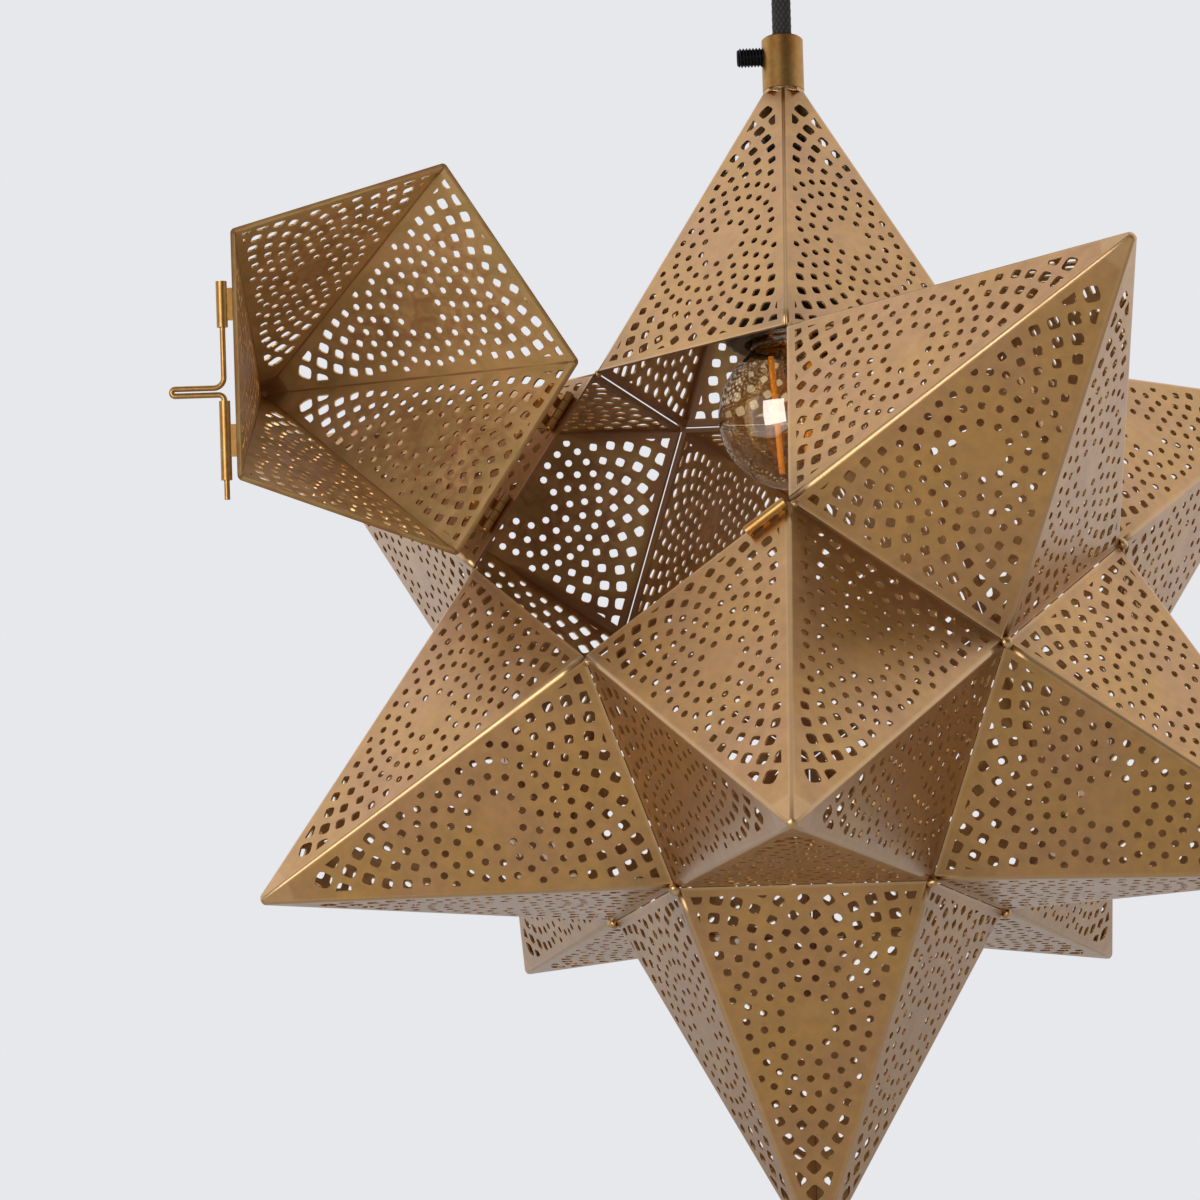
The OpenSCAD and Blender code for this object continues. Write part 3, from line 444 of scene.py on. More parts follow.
def braided_yarn(tree, place, c):
    """Braided polyester over the cord: matt charcoal, with painted light on top of each bundle."""
    crest = add(tree, "Attribute", attribute_name="crest").outputs["Fac"]
    fuzz = add(tree, "TexNoise", {"Vector": place, "Scale": grains(0.3), "Detail": 3.0})
    stray = add(tree, "MapRange", {"Value": fuzz, "From Min": 0.3, "From Max": 0.7,
                                   "To Min": -0.25, "To Max": 0.25})
    crest_light = add(tree, "Math", {0: crest, 1: stray}, operation="ADD")
    # Painted light and shade: the tops of the bundles are lighter and the gaps of the braid darker
    share = add(tree, "MapRange", {"Value": crest_light, "From Min": 0.1, "From Max": 0.9})
    tone = add(tree, "Mix", {0: share, 6: c.yarn_dark, 7: c.yarn}, data_type="RGBA")
    hairs = add(tree, "Bump", {"Height": fuzz, "Distance": 0.05 * MM, "Strength": 1.0})
    return add(tree, "BsdfPrincipled", {"Base Color": tone, "Roughness": 0.85, "Sheen Weight": 0.25,
                                        "Sheen Roughness": 0.4, "Normal": hairs})


def bakelite(tree, place, c):
    """Moulded phenolic resin: glossy near-black with a faint orange peel."""
    return two_toned(tree, place, (linear("#16110E"), linear("#211A15")),
                     (12, 2.0), (0.4, 0.6), (1.5, 2.0, 0.01),
                     {"Roughness": 0.16, "IOR": 1.6, "Coat Weight": 0.3})


def glazed_porcelain(tree, place, c):
    """Glazed steatite: warm white, glossy, with fine dark specks."""
    return two_toned(tree, place, (linear("#E9E4D8"), linear("#8F8470")),
                     (0.5, 1.0), (0.72, 0.78), (2.5, 2.0, 0.02),
                     {"Roughness": 0.2, "Coat Weight": 0.5})


def pressed_brass(tree, place, c):
    """Pressed bright brass of the sleeve and the bulb's cap: shiny, slightly streaked."""
    pulled = add(tree, "VectorMath", {0: place, 1: (1, 1, 0.15)}, operation="MULTIPLY")
    return two_toned(tree, pulled, (linear("#E0B25A"), linear("#C48F3C")),
                     (1.5, 3.0), (0.3, 0.7), (1.5, 3.0, 0.005),
                     {"Metallic": 1.0, "Roughness": 0.24})


def blown_glass(tree, place, c):
    """Amber lustre glass, blown: smooth and bright, with a very slight ripple; it lets the light in."""
    skin = relief(tree, place, 8, 1.0, 0.03)
    glass = add(tree, "BsdfPrincipled", {"Base Color": c.glass, "Roughness": 0.0, "IOR": 1.6,
                                         "Transmission Weight": 1.0, "Specular IOR Level": 1.0,
                                         "Coat Weight": 1.0, "Coat Roughness": 0.0, "Coat IOR": 2.0,
                                         "Normal": skin, "Coat Normal": skin})
    clear = add(tree, "BsdfTransparent", {"Color": c.glass})
    shadow = add(tree, "LightPath").outputs["Is Shadow Ray"]
    return add(tree, "MixShader", {0: shadow, 1: glass, 2: clear})


def black_glass(tree, place, c):
    """Vitrite of the bulb's cap: black glass with a melted gloss."""
    return two_toned(tree, place, (linear("#0F1013"), linear("#1D2026")),
                     (3, 2.0), (0.0, 1.0), (3, 2.0, 0.05),
                     {"Roughness": 0.12})


def tinned_metal(tree, place, c):
    """Tinned contact: pale grey metal with small scratches."""
    return two_toned(tree, place, (linear("#B9BABC"), linear("#DADADA")),
                     (1, 3.0), (0.0, 1.0), (1, 3.0, 0.02),
                     {"Metallic": 1.0, "Roughness": 0.3})


def zinc_plate(tree, place, c):
    """Zinc plated steel: cool grey, cloudy, semi-matt."""
    clouds = add(tree, "TexNoise", {"Vector": place, "Scale": grains(5), "Detail": 4.0})
    share = add(tree, "MapRange", {"Value": clouds, "From Min": 0.35, "From Max": 0.65})
    tone = add(tree, "Mix", {0: share, 6: linear("#A9ADB0"), 7: linear("#C6C8C4")}, data_type="RGBA")
    rough = add(tree, "MapRange", {"Value": clouds, "From Min": 0.3, "From Max": 0.7,
                                   "To Min": 0.28, "To Max": 0.42})
    return add(tree, "BsdfPrincipled", {"Base Color": tone, "Metallic": 1.0, "Roughness": rough})


def core_pvc(tree, place, c):
    """PVC insulation, one core brown and one blue: smooth and slightly waxy."""
    across = add(tree, "SeparateXYZ", {0: place}).outputs["X"]
    share = add(tree, "MapRange", {"Value": across, "From Min": -0.1 * MM, "From Max": 0.1 * MM})
    tone = add(tree, "Mix", {0: share, 6: linear("#5A3A22"), 7: linear("#27406E")}, data_type="RGBA")
    skin = relief(tree, place, 1, 2.0, 0.01)
    return add(tree, "BsdfPrincipled", {"Base Color": tone, "Roughness": 0.4, "Normal": skin})


def phosphor(tree, place, c):
    """Silicone with yellow phosphor over the filaments: matt deep amber, with a faint painted glow."""
    grit = add(tree, "TexNoise", {"Vector": place, "Scale": grains(1.2), "Detail": 2.0})
    tone = add(tree, "Mix", {0: grit, 6: c.phosphor, 7: linear("#D97F12")}, data_type="RGBA")
    skin = add(tree, "Bump", {"Height": grit, "Distance": 0.06 * MM, "Strength": 1.0})
    # The emission is a painted glow: the filaments shine though no lamp is lit inside the bulb
    return add(tree, "BsdfPrincipled", {"Base Color": tone, "Roughness": 0.45, "Normal": skin,
                                        "Emission Color": tone, "Emission Strength": 0.35})


def painted_floor(tree, place, c):
    """Matt painted board: pale, even, with a trace of the roller."""
    return two_toned(tree, place, (c.floor, linear("#C9C7C3")),
                     (300, 2.0), (0.0, 1.0), (3, 2.0, 0.02),
                     {"Roughness": 0.8})


def finish(make):
    """The material of a finish, made on its first use.

    The CAD model brings materials named bakelite and black_glass, so these two are used as they come.
    """
    made = bpy.data.materials.get(make.__name__)
    if made is None:
        scene = bpy.context.scene.lantern
        made = bpy.data.materials.new(make.__name__)
        made.use_nodes = True
        tree = made.node_tree
        tree.nodes.clear()
        shades = {p.identifier: tuple(getattr(scene.colours, p.identifier))
                  for p in scene.colours.bl_rna.properties if getattr(p, "is_array", False)}
        shades["floor"] = tuple(scene.stage.floor)
        place = add(tree, "TexCoord").outputs["Object"]
        add(tree, "OutputMaterial", {"Surface": make(tree, place, SimpleNamespace(**shades))})
    return made


# ---- Making pieces ----

def new_mesh(name, points, faces):
    """A mesh from points in millimetres."""
    mesh = bpy.data.meshes.new(name)
    mesh.from_pydata([Vector(p) * MM for p in points], [], faces)
    return mesh


def new_object(name, data):
    """An object in the scene."""
    made = bpy.data.objects.new(name, data)
    bpy.context.scene.collection.objects.link(made)
    return made


def polar(r, way, z):
    """A place at a distance from the Z axis, in the direction of an angle in radians."""
    return r * math.cos(way), r * math.sin(way), z


def make_piece(name, points, faces, finishes, body, replaced=(), marks=None, smooth=True, values=None):
    """A mesh object from points in millimetres, with its materials, riding on its CAD body.

    marks is the material number of each face, smooth says whether the faces are shaded smooth, all
    alike or one by one, and values holds one number per point for each named attribute.
    """
    mesh = new_mesh(name, points, faces)
    for make in finishes:
        mesh.materials.append(finish(make))
    if marks is not None:
        mesh.polygons.foreach_set("material_index", marks)
    mesh.polygons.foreach_set("use_smooth", [smooth] * len(faces) if isinstance(smooth, bool) else smooth)
    for key, numbers in (values or {}).items():
        mesh.attributes.new(key, "FLOAT", "POINT").data.foreach_set("value", numbers)
    mesh.update()
    piece = new_object(name, mesh)
    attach(piece, body)
    if replaced:
        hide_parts(*replaced)
    return piece


def dress(node, make, bevel=0.0):
    """Gives a CAD node its finish, and takes the sharpness off its corners."""
    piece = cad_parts[node]
    for slot in piece.material_slots:
        slot.material = finish(make)
    if bevel:
        soft = piece.modifiers.new("softened corners", "BEVEL")
        soft.width = bevel * MM
        soft.segments = 2
        soft.limit_method = "ANGLE"
        soft.angle_limit = math.radians(SHARP)
        soft.harden_normals = True


def turned(profile, sides):
    """Points and faces of a turned piece, from its profile of (radius, height), outside first."""
    points, rows, faces = [], [], []
    for r, z in profile:
        count = sides if r > 0 else 1
        rows.append([len(points) + side % count for side in range(sides)])
        points += [polar(r, math.tau * side / sides, z) for side in range(count)]
    for low, high in zip(rows, rows[1:] + rows[:1]):
        for side in range(sides):
            beside = (side + 1) % sides
            loop = [low[side], low[beside], high[beside], high[side]]
            face = [i for n, i in enumerate(loop) if i not in loop[:n]]
            if len(face) > 2:
                faces.append(face)
    return points, faces


def rod_faces(rows, around):
    """Faces of a rod made of rows of points from end to end, with both ends closed."""
    faces = []
    for i in range(rows):
        for j in range(around):
            k = (j + 1) % around
            a, b = i * around, (i + 1) * around
            faces.append((a + j, a + k, b + k, b + j))
    faces.append(tuple(reversed(range(around))))
    faces.append(tuple(range(rows * around, (rows + 1) * around)))
    return faces


def threaded_rod(d, pitch, length, chamfer):
    """Points and faces of a rod with a metric thread, chamfered at both ends, along +Z."""
    rows = round(length / pitch * THREAD_STEPS)
    points = []
    for i in range(rows + 1):
        z = length * i / rows
        room_left = d / 2 - chamfer + min(z, length - z)
        for j in range(THREAD_AROUND):
            flank = abs(2 * ((z / pitch - j / THREAD_AROUND) % 1) - 1)
            r = min(room_left, d / 2 - THREAD_DEPTH * pitch * (1 - min(1, THREAD_FLANK * flank)))
            points.append(polar(r, math.tau * j / THREAD_AROUND, z))
    return points, rod_faces(rows, THREAD_AROUND)


def block(low, high):
    """Points and faces of a block between two corners."""
    points = [(x, y, z) for z in (low[2], high[2]) for y in (low[1], high[1]) for x in (low[0], high[0])]
    return points, [(0, 2, 3, 1), (4, 5, 7, 6), (0, 1, 5, 4), (2, 6, 7, 3), (0, 4, 6, 2), (1, 3, 7, 5)]


def lump(middle, out, wide, high, seed):
    """Points and faces of one frozen lump of solder, flattened along the way out."""
    turn = Vector((0, 0, 1)).rotation_difference(out).to_matrix()
    rows = [math.pi * i / LUMP_ROWS for i in range(1, LUMP_ROWS)]
    profile = [(0, -1)] + [(math.sin(a), -math.cos(a)) for a in rows] + [(0, 1)]
    points, faces = turned(profile, LUMP_AROUND)
    placed = []
    for x, y, z in points:
        swell = 1 + LUMP_SWELL * noise.noise(Vector((x, y, z)) * 1.1 + Vector((seed * 7.3, seed, 0)))
        placed.append(middle + turn @ Vector((x * wide * swell, y * wide * swell, z * high * swell)))
    return placed, faces


# ---- The star ----

def star_shape(context):
    """Sizes of the star in millimetres, with what follows from them."""
    s = in_mm(context.scene.lantern.star)
    s.apothem = s.edge / 2 / math.tan(math.radians(HALF_STEP))
    s.slant = math.hypot(s.apothem, s.point_h)
    s.lean, s.rise = s.apothem / s.slant, s.point_h / s.slant
    s.side = math.hypot(s.edge / 2, s.slant)
    # The bases of the points are the faces of a dodecahedron: their distance from its middle, and
    # the slope of the axes of the points round it
    s.in_r = s.edge / 2 * math.sqrt(2.5 + 1.1 * math.sqrt(5))
    s.ring_el = math.degrees(math.atan(0.5))
    # Opposite points of the star lie evenly about its middle
    low, high = box_mm("lower_point_front"), box_mm("upper_point_back")
    s.middle = (low[0].z + low[1].z + high[0].z + high[1].z) / 4
    return s


def turn_about(axis, degrees):
    """A turn about one of the axes."""
    return Matrix.Rotation(math.radians(degrees), 4, axis)


def at_point(s, az, el, turn):
    """The base of a point, in millimetres: +Z runs out to its tip."""
    return (Matrix.Translation((0, 0, s.middle)) @ turn_about("Z", az) @ turn_about("X", 90 - el)
            @ Matrix.Translation((0, 0, s.in_r)) @ turn_about("Z", turn))


def seat(s, place):
    """The base of one of the points round the star, in millimetres."""
    az, side, turn = place
    return at_point(s, az, side * s.ring_el, turn)


def at_open_door(s, d):
    """The base of the door as it stands open."""
    out = Matrix.Translation((0, s.apothem + d.hinge_out, d.hinge_up))
    to_hinge = turn_about("Z", WALL_STEP) @ out
    swing = to_hinge @ turn_about("X", -d.open_angle) @ out.inverted() @ turn_about("Z", -WALL_STEP)
    return seat(s, DOOR_POINT) @ swing


def room(s, x, y):
    """Distance of a place on a wall from the nearest of its three edges."""
    return min(y, ((s.edge / 2 - abs(x)) * s.slant - y * s.edge / 2) / s.side)


def hole_outline(p, ring, turn):
    """Outline of one hole: round in the inner rings, then a diamond with soft corners."""
    grown = max(0, ring - p.round_rings) / max(1, p.n_rings - p.round_rings)
    half = (p.small_hole + (p.large_hole - p.small_hole) * grown) / 2
    if ring <= p.round_rings:
        return half, [(half * math.cos(turn + i * math.tau / 8), half * math.sin(turn + i * math.tau / 8))
                      for i in range(8)]
    soft = SOFT_CORNER * half
    outline = []
    for i in range(12):
        corner = turn + (i // 3) * math.tau / 4
        way = corner + (i % 3 - 1) * math.tau / 8
        outline.append(((half - soft) * math.cos(corner) + soft * math.cos(way),
                        (half - soft) * math.sin(corner) + soft * math.sin(way)))
    return half, outline


def clip(outline, inside):
    """The part of an outline where inside(x, y) isn't negative; inside is a sloping plane."""
    kept = []
    for (x0, y0), (x1, y1) in zip(outline, outline[1:] + outline[:1]):
        a, b = inside(x0, y0), inside(x1, y1)
        if a >= 0:
            kept.append((x0, y0))
        if (a < 0) != (b < 0):
            f = a / (a - b)
            kept.append((x0 + f * (x1 - x0), y0 + f * (y1 - y0)))
    return kept


def piercing(s, p):
    """Outlines of all the holes of one wall, cut off at its plain border."""
    edges = [lambda x, y: y - p.margin]
    for way in (-1, 1):
        edges.append(lambda x, y, way=way:
                     ((s.edge / 2 - way * x) * s.slant - y * s.edge / 2) / s.side - p.margin)
    holes = []
    for ring in range(1, p.n_rings + 1):
        r = (p.ring_1_r + p.ring_step * (min(ring, p.middle_rings) - 1)
             + p.outer_step * max(0, ring - p.middle_rings))
        n_holes = FIRST_RINGS.get(ring, LATER_RINGS)
        for j in range(n_holes):
            turn = math.tau * (0.25 + (j + (0.5 if ring % 2 == 0 else 0)) / n_holes)
            x, y = r * math.cos(turn), p.medal_h + r * math.sin(turn)
            half, outline = hole_outline(p, ring, turn)
            left = room(s, x, y) - p.margin
            if left <= SLIVER - BEYOND * half:
                continue
            outline = [(x + u, y + v) for u, v in outline]
            if left < half:
                for edge in edges:
                    outline = clip(outline, edge)
            tidy = [q for i, q in enumerate(outline) if math.dist(q, outline[i - 1]) > SHORT_SIDE]
            if len(tidy) > 2:
                holes.append(tidy)
    return holes


def fold_radius(s, y, top):
    """Outside radius of the folds at a height on the wall."""
    return s.fold_r + (s.tip_fold_r - s.fold_r) * y / top


def pierced_panel(s, p, cut_r):
    """The flat part of a wall between its folds, divided into triangles round its holes."""
    base = s.seam_gap / 2 / s.rise
    full = (s.apothem - s.tip_r) / s.lean
    top = (s.apothem - cut_r) / s.lean
    levels = [base + (top - base) * i / SIDE_STEPS for i in range(SIDE_STEPS + 1)]

    def half_width(y):
        return (s.apothem - y * s.lean - fold_radius(s, y, full)) * math.tan(math.radians(HALF_STEP))

    points = [(half_width(base) * (2 * i / BASE_STEPS - 1), base) for i in range(BASE_STEPS + 1)]
    points += [(half_width(y), y) for y in levels[1:]]
    points += [(-half_width(y), y) for y in reversed(levels[1:])]
    loops = [list(range(len(points)))]
    for outline in piercing(s, p):
        loops.append(list(range(len(points), len(points) + len(outline))))
        points += outline
    made = delaunay_2d_cdt([Vector(q) for q in points], [], loops, 1, 1e-4, True)
    if len(made[0]) != len(points):
        raise RuntimeError("two holes of a wall touch each other")
    back = [sources[0] for sources in made[3]]
    faces = [[back[i] for i in face] for face, inside in zip(made[2], made[5]) if len(inside) == 1]
    right = list(range(BASE_STEPS, BASE_STEPS + SIDE_STEPS + 1))
    left = [0] + list(range(BASE_STEPS + 2 * SIDE_STEPS, BASE_STEPS + SIDE_STEPS, -1))
    return SimpleNamespace(points=points, faces=faces, holes=loops[1:], right=right, left=left, base=base,
                           hem_top=base + s.hem, levels=levels, full=full, half_width=half_width)


class FoldedSheet:
    """The points and faces of one point of the star, gathered as they are made.

    rim and joint hold how far each point lies from the edge of its wall and from the nearest
    soldered corner, and seam tells which points lie where the sheet meets itself.
    """

    def __init__(self, unheated):
        self.points, self.faces, self.marks, self.smooth = [], [], [], []
        self.rim, self.joint, self.seam = [], [], []
        self.unheated = unheated

    def put(self, place, edge, corner, seam=False):
        """Adds a point, and gives its number."""
        self.points.append(place)
        self.rim.append(edge)
        self.joint.append(corner + self.unheated)
        self.seam.append(seam)
        return len(self.points) - 1

    def cover(self, loop, mark, smooth=False):
        """Adds a face with the number of its finish."""
        self.faces.append(loop)
        self.marks.append(mark)
        self.smooth.append(smooth)

    def band(self, low, high, mark, smooth=False):
        """Adds a closed band of faces between two rings of points."""
        for i in range(len(low)):
            j = (i + 1) % len(low)
            self.cover((low[i], low[j], high[j], high[i]), mark, smooth)


def wall_place(s, k, x, y, depth):
    """A place on wall k: x along its base, y up the wall and depth below its outside."""
    return turn_about("Z", WALL_STEP * k) @ Vector((x, s.apothem - y * s.lean - depth * s.rise,
                                                    y * s.rise - depth * s.lean))


def fold_place(s, panel, k, f, y, depth):
    """A place on the fold after wall k, at the share f of the way round to the next wall."""
    r = fold_radius(s, y, panel.full)
    reach = (s.apothem - y * s.lean - r) / math.cos(math.radians(HALF_STEP))
    middle = math.radians(90 + WALL_STEP * k + HALF_STEP)
    way = math.radians(90 + WALL_STEP * (k + f))
    return Vector((reach * math.cos(middle) + (r - depth * s.rise) * math.cos(way),
                   reach * math.sin(middle) + (r - depth * s.rise) * math.sin(way),
                   y * s.rise - depth * s.lean))


def lay_wall(made, s, panel, skin, k):
    """One skin of wall k with its holes, and the numbers of its points."""
    ids = []
    for i, (x, y) in enumerate(panel.points):
        if skin == INSIDE and i <= BASE_STEPS:
            x *= panel.half_width(panel.hem_top) / panel.half_width(panel.base)
            y = panel.hem_top
        ids.append(made.put(wall_place(s, k, x, y, s.sheet * skin), room(s, x, y),
                            math.hypot(s.edge / 2 - abs(x), y)))
    for a, b, c in panel.faces:
        made.cover((ids[a], ids[b], ids[c]) if skin == INSIDE else (ids[c], ids[b], ids[a]), skin)
    return ids


def lay_fold(made, s, panel, skin, k, walls):
    """One skin of the fold after wall k, and the numbers of its points in rows up to the tip."""
    rows = []
    for i, y in enumerate(panel.levels):
        if skin == INSIDE and i == 0:
            y = panel.hem_top
        near = room(s, panel.half_width(y), y)
        row = [walls[skin, k][panel.left[i]]]
        for step, f in enumerate(FOLD_STEPS):
            seam = (skin, k, step) == (OUTSIDE, SEAM_FOLD, SEAM_STEP)
            row.append(made.put(fold_place(s, panel, k, f, y, s.sheet * skin), near * abs(2 * f - 1),
                                y * s.side / s.slant, seam))
        row.append(walls[skin, (k + 1) % 5][panel.right[i]])
        rows.append(row)
    for low, high in zip(rows, rows[1:]):
        for j in range(len(low) - 1):
            loop = (low[j], low[j + 1], high[j + 1], high[j])
            made.cover(loop[::-1] if skin == INSIDE else loop, skin, True)
    return rows


def lay_hem(made, s, panel, walls, folds):
    """The hem: the sheet is folded back along the base, and lies against the inside of the walls."""
    base_rows = [[i for k in range(5) for i in walls[skin, k][BASE_STEPS::-1] + folds[skin, k][0][1:-1]]
                 for skin in (OUTSIDE, INSIDE)]
    depth = 2 * s.sheet
    rows = [base_rows[OUTSIDE]]
    for y in (panel.base + depth * s.lean / s.rise, panel.hem_top):
        row = []
        for k in range(5):
            for i in range(BASE_STEPS, -1, -1):
                x = panel.half_width(y) * (2 * i / BASE_STEPS - 1)
                row.append(made.put(wall_place(s, k, x, y, depth), y, math.hypot(s.edge / 2 - abs(x), y)))
            row += [made.put(fold_place(s, panel, k, f, y, depth), 0.0, y) for f in FOLD_STEPS]
        rows.append(row)
    rows.append(base_rows[INSIDE])
    # The fold of the hem takes the browned inside finish, which also paints shade along the seam between
    # two points
    for low, high, mark in zip(rows, rows[1:], (INSIDE, INSIDE, CUT)):
        for i in range(len(low)):
            j = (i + 1) % len(low)
            made.cover((low[i], high[i], high[j], low[j]), mark)


def close_tip(made, s, outer, inner):
    """The tip, closed by a drop of solder that is dressed to a low dome."""
    ring = outer
    for share in TIP_DOME_RINGS:
        smaller = []
        for i in outer:
            x, y, z = made.points[i]
            place = Vector((x * share, y * share, z + TIP_DOME_H * (1 - share ** 2)))
            smaller.append(made.put(place, 0.0, s.side))
        made.band(ring, smaller, OUTSIDE, True)
        ring = smaller
    peak = made.put(Vector((0, 0, made.points[outer[0]].z + TIP_DOME_H)), 0.0, s.side)
    under = made.put(Vector((0, 0, made.points[inner[0]].z)), 0.0, s.side)
    for i in range(len(outer)):
        j = (i + 1) % len(outer)
        made.cover((ring[i], ring[j], peak), OUTSIDE, True)
        made.cover((inner[j], inner[i], under), INSIDE)


def folded_point(s, panel, capped, unheated=0.0):
    """A whole point in its own frame: five pierced walls with rounded folds between them.

    unheated is added to the distance from the soldered corners, where a point wasn't soldered.
    """
    made = FoldedSheet(unheated)
    walls, folds = {}, {}
    for skin in (OUTSIDE, INSIDE):
        for k in range(5):
            walls[skin, k] = lay_wall(made, s, panel, skin, k)
        for k in range(5):
            folds[skin, k] = lay_fold(made, s, panel, skin, k, walls)
    for k in range(5):
        out, into = walls[OUTSIDE, k], walls[INSIDE, k]
        for hole in panel.holes:
            for a, b in zip(hole, hole[1:] + hole[:1]):
                made.cover((out[b], out[a], into[a], into[b]), CUT)
    lay_hem(made, s, panel, walls, folds)
    ends = []
    for skin in (OUTSIDE, INSIDE):
        end = []
        for k in range(5):
            wall = walls[skin, k]
            end += [wall[panel.right[-1]], wall[panel.left[-1]], *folds[skin, k][-1][1:-1]]
        ends.append(end)
    if capped:
        close_tip(made, s, *ends)
    else:
        made.band(*ends, CUT)
    return made


def place_point(shape, name, placement, body, groove):
    """One point of the star at its place, with the seam sunk where its sheet meets itself."""
    points = []
    for p, seam in zip(shape.points, shape.seam):
        if seam:
            p = p - Vector((p.x, p.y, 0)).normalized() * groove
        points.append(placement @ p)
    return make_piece(name, points, shape.faces, [rubbed_brass, heat_toned_brass, sawn_brass], body,
                      [name.removesuffix("_sheet")], shape.marks, shape.smooth,
                      {"rim": shape.rim, "joint": shape.joint})


# ---- Operators ----

class LANTERN_OT_camera(bpy.types.Operator):
    """Sets up the camera a little below the star, in front of it"""
    bl_idname = "lantern.camera"
    bl_label = "Camera"

    def execute(self, context):
        data = bpy.data.cameras.new("camera")
        data.sensor_width = 36
        data.lens = CAMERA_LENS
        camera = new_object("camera", data)
        x, y, z = CAMERA_PLACE
        camera.location = (x, y, star_shape(context).middle * MM + z)
        camera.rotation_euler = [math.radians(a) for a in CAMERA_TURN]
        context.scene.camera = camera
        return {"FINISHED"}


class LANTERN_OT_cord(bpy.types.Operator):
    """Makes the braided cord between the lampholder and the ceiling rose"""
    bl_idname = "lantern.cord"
    bl_label = "Braided cord"

    def execute(self, context):
        c = in_mm(context.scene.lantern.cord)
        path = [(0, 0, -104), (0, 0, -92), (0, 0, -78), (0, 0, -64), (0, 0, -50), (0, 0, -36), (0, 0, -22),
                (0, 0, -16)]
        low, high = path[0][2], path[-1][2]
        around = 6 * c.strands
        rows = round((high - low) / (c.lay / 4))
        points, crest = [], []
        for i in range(rows + 1):
            z = low + (high - low) * i / rows
            for j in range(around):
                across = j / around * c.strands
                a, b = across + z / c.lay / 2, across - z / c.lay / 2
                lift = abs(math.sin(math.pi * a) * math.sin(math.pi * b))
                r = c.cord_d / 2 - c.relief * (1 - lift ** 0.6)
                points.append(polar(r, math.tau * j / around, z))
                crest.append(lift)
        cord = make_piece("braided_cord", points, rod_faces(rows, around), [braided_yarn], "lantern",
                          ["cord"], values={"crest": crest})
        return {"FINISHED"}


class LANTERN_OT_points(bpy.types.Operator):
    """Folds the eleven fixed points of the star from pierced sheet"""
    bl_idname = "lantern.points"
    bl_label = "Points of the star"

    def execute(self, context):
        s = star_shape(context)
        p = in_mm(context.scene.lantern.piercing)
        shape = folded_point(s, pierced_panel(s, p, s.tip_r), True)
        for name, place in FIXED_POINTS.items():
            place_point(shape, name + "_sheet", seat(s, place), "lantern", SHUT_SEAM)
        place_point(shape, "bottom_point_sheet", at_point(s, 0, -90, 0), "lantern", SHUT_SEAM)
        top = folded_point(s, pierced_panel(s, p, s.top_cut_r), False)
        place_point(top, "top_point_sheet", at_point(s, 0, 90, 0), "lantern", s.seam)
        return {"FINISHED"}


class LANTERN_OT_door(bpy.types.Operator):
    """Folds the point that is the door, as it stands open"""
    bl_idname = "lantern.door"
    bl_label = "Door"

    def execute(self, context):
        s = star_shape(context)
        p = in_mm(context.scene.lantern.piercing)
        shape = folded_point(s, pierced_panel(s, p, s.tip_r), True, unheated=s.edge)
        placement = at_open_door(s, in_mm(context.scene.lantern.door))
        place_point(shape, "door_point_sheet", placement, "door", SHUT_SEAM)
        return {"FINISHED"}


class LANTERN_OT_hinges(bpy.types.Operator):
    """Finishes the two hinges of the door and their pins"""
    bl_idname = "lantern.hinges"
    bl_label = "Hinges"

    def execute(self, context):
        for node in ("star_hinge_leaves", "door_hinge_leaves"):
            dress(node, turned_brass, 0.12)
        dress("hinge_pins", turned_brass)
        return {"FINISHED"}


class LANTERN_OT_bolt(bpy.types.Operator):
    """Finishes the bolt, its guide tubes and the tube that it shoots into"""
    bl_idname = "lantern.bolt"
    bl_label = "Bolt"

    def execute(self, context):
        for node in ("door_bolt_tubes", "bolt_keeper_tube"):
            dress(node, turned_brass, 0.15)
        dress("bolt_rod", turned_brass)
        return {"FINISHED"}


def collar_ring(s, d):
    """Points and faces of the solder that runs round the top point, under the collar."""
    foot = box_mm("collar")[0].z
    collar_r = box_mm("collar")[1].y
    around, rows = 120, 8
    # How far its depth and its bulge wander as it froze, as shares of them
    depth_swing, bulge_swing = 0.45, 0.8
    points, faces = [], []
    for j in range(around):
        way = math.tau * j / around
        wave = Vector(polar(1, way, 0)) * 2.4
        deep = d.collar_h * (1 + depth_swing * noise.noise(wave))
        proud = d.collar_bulge * (1 + bulge_swing * noise.noise(wave * 1.7 + Vector((5, 0, 0))))
        # Distance of the wall's plane, in a direction that lies between two of its folds
        to_fold = abs((math.degrees(way) - HALF_STEP / 2) % WALL_STEP - HALF_STEP)
        face_cos = math.cos(math.radians(to_fold))
        for i in range(rows + 1):
            f = i / rows
            wall = (s.top_cut_r + f * deep * s.lean / s.rise) / face_cos
            start = max(0, collar_r - 0.1 - wall)
            r = wall + start * (1 - f) ** 1.5 + proud * math.sin(math.pi * min(1, f * 1.02)) ** 0.7
            points.append(polar(r, way, foot - f * deep))
        inner = s.top_cut_r - s.sheet * 0.5
        points += [polar(inner, way, foot - deep * 0.4), polar(inner, way, foot)]
    ring = rows + 3
    for j in range(around):
        a, b = j * ring, (j + 1) % around * ring
        for i in range(ring):
            k = (i + 1) % ring
            faces.append((a + i, a + k, b + k, b + i))
    return points, faces


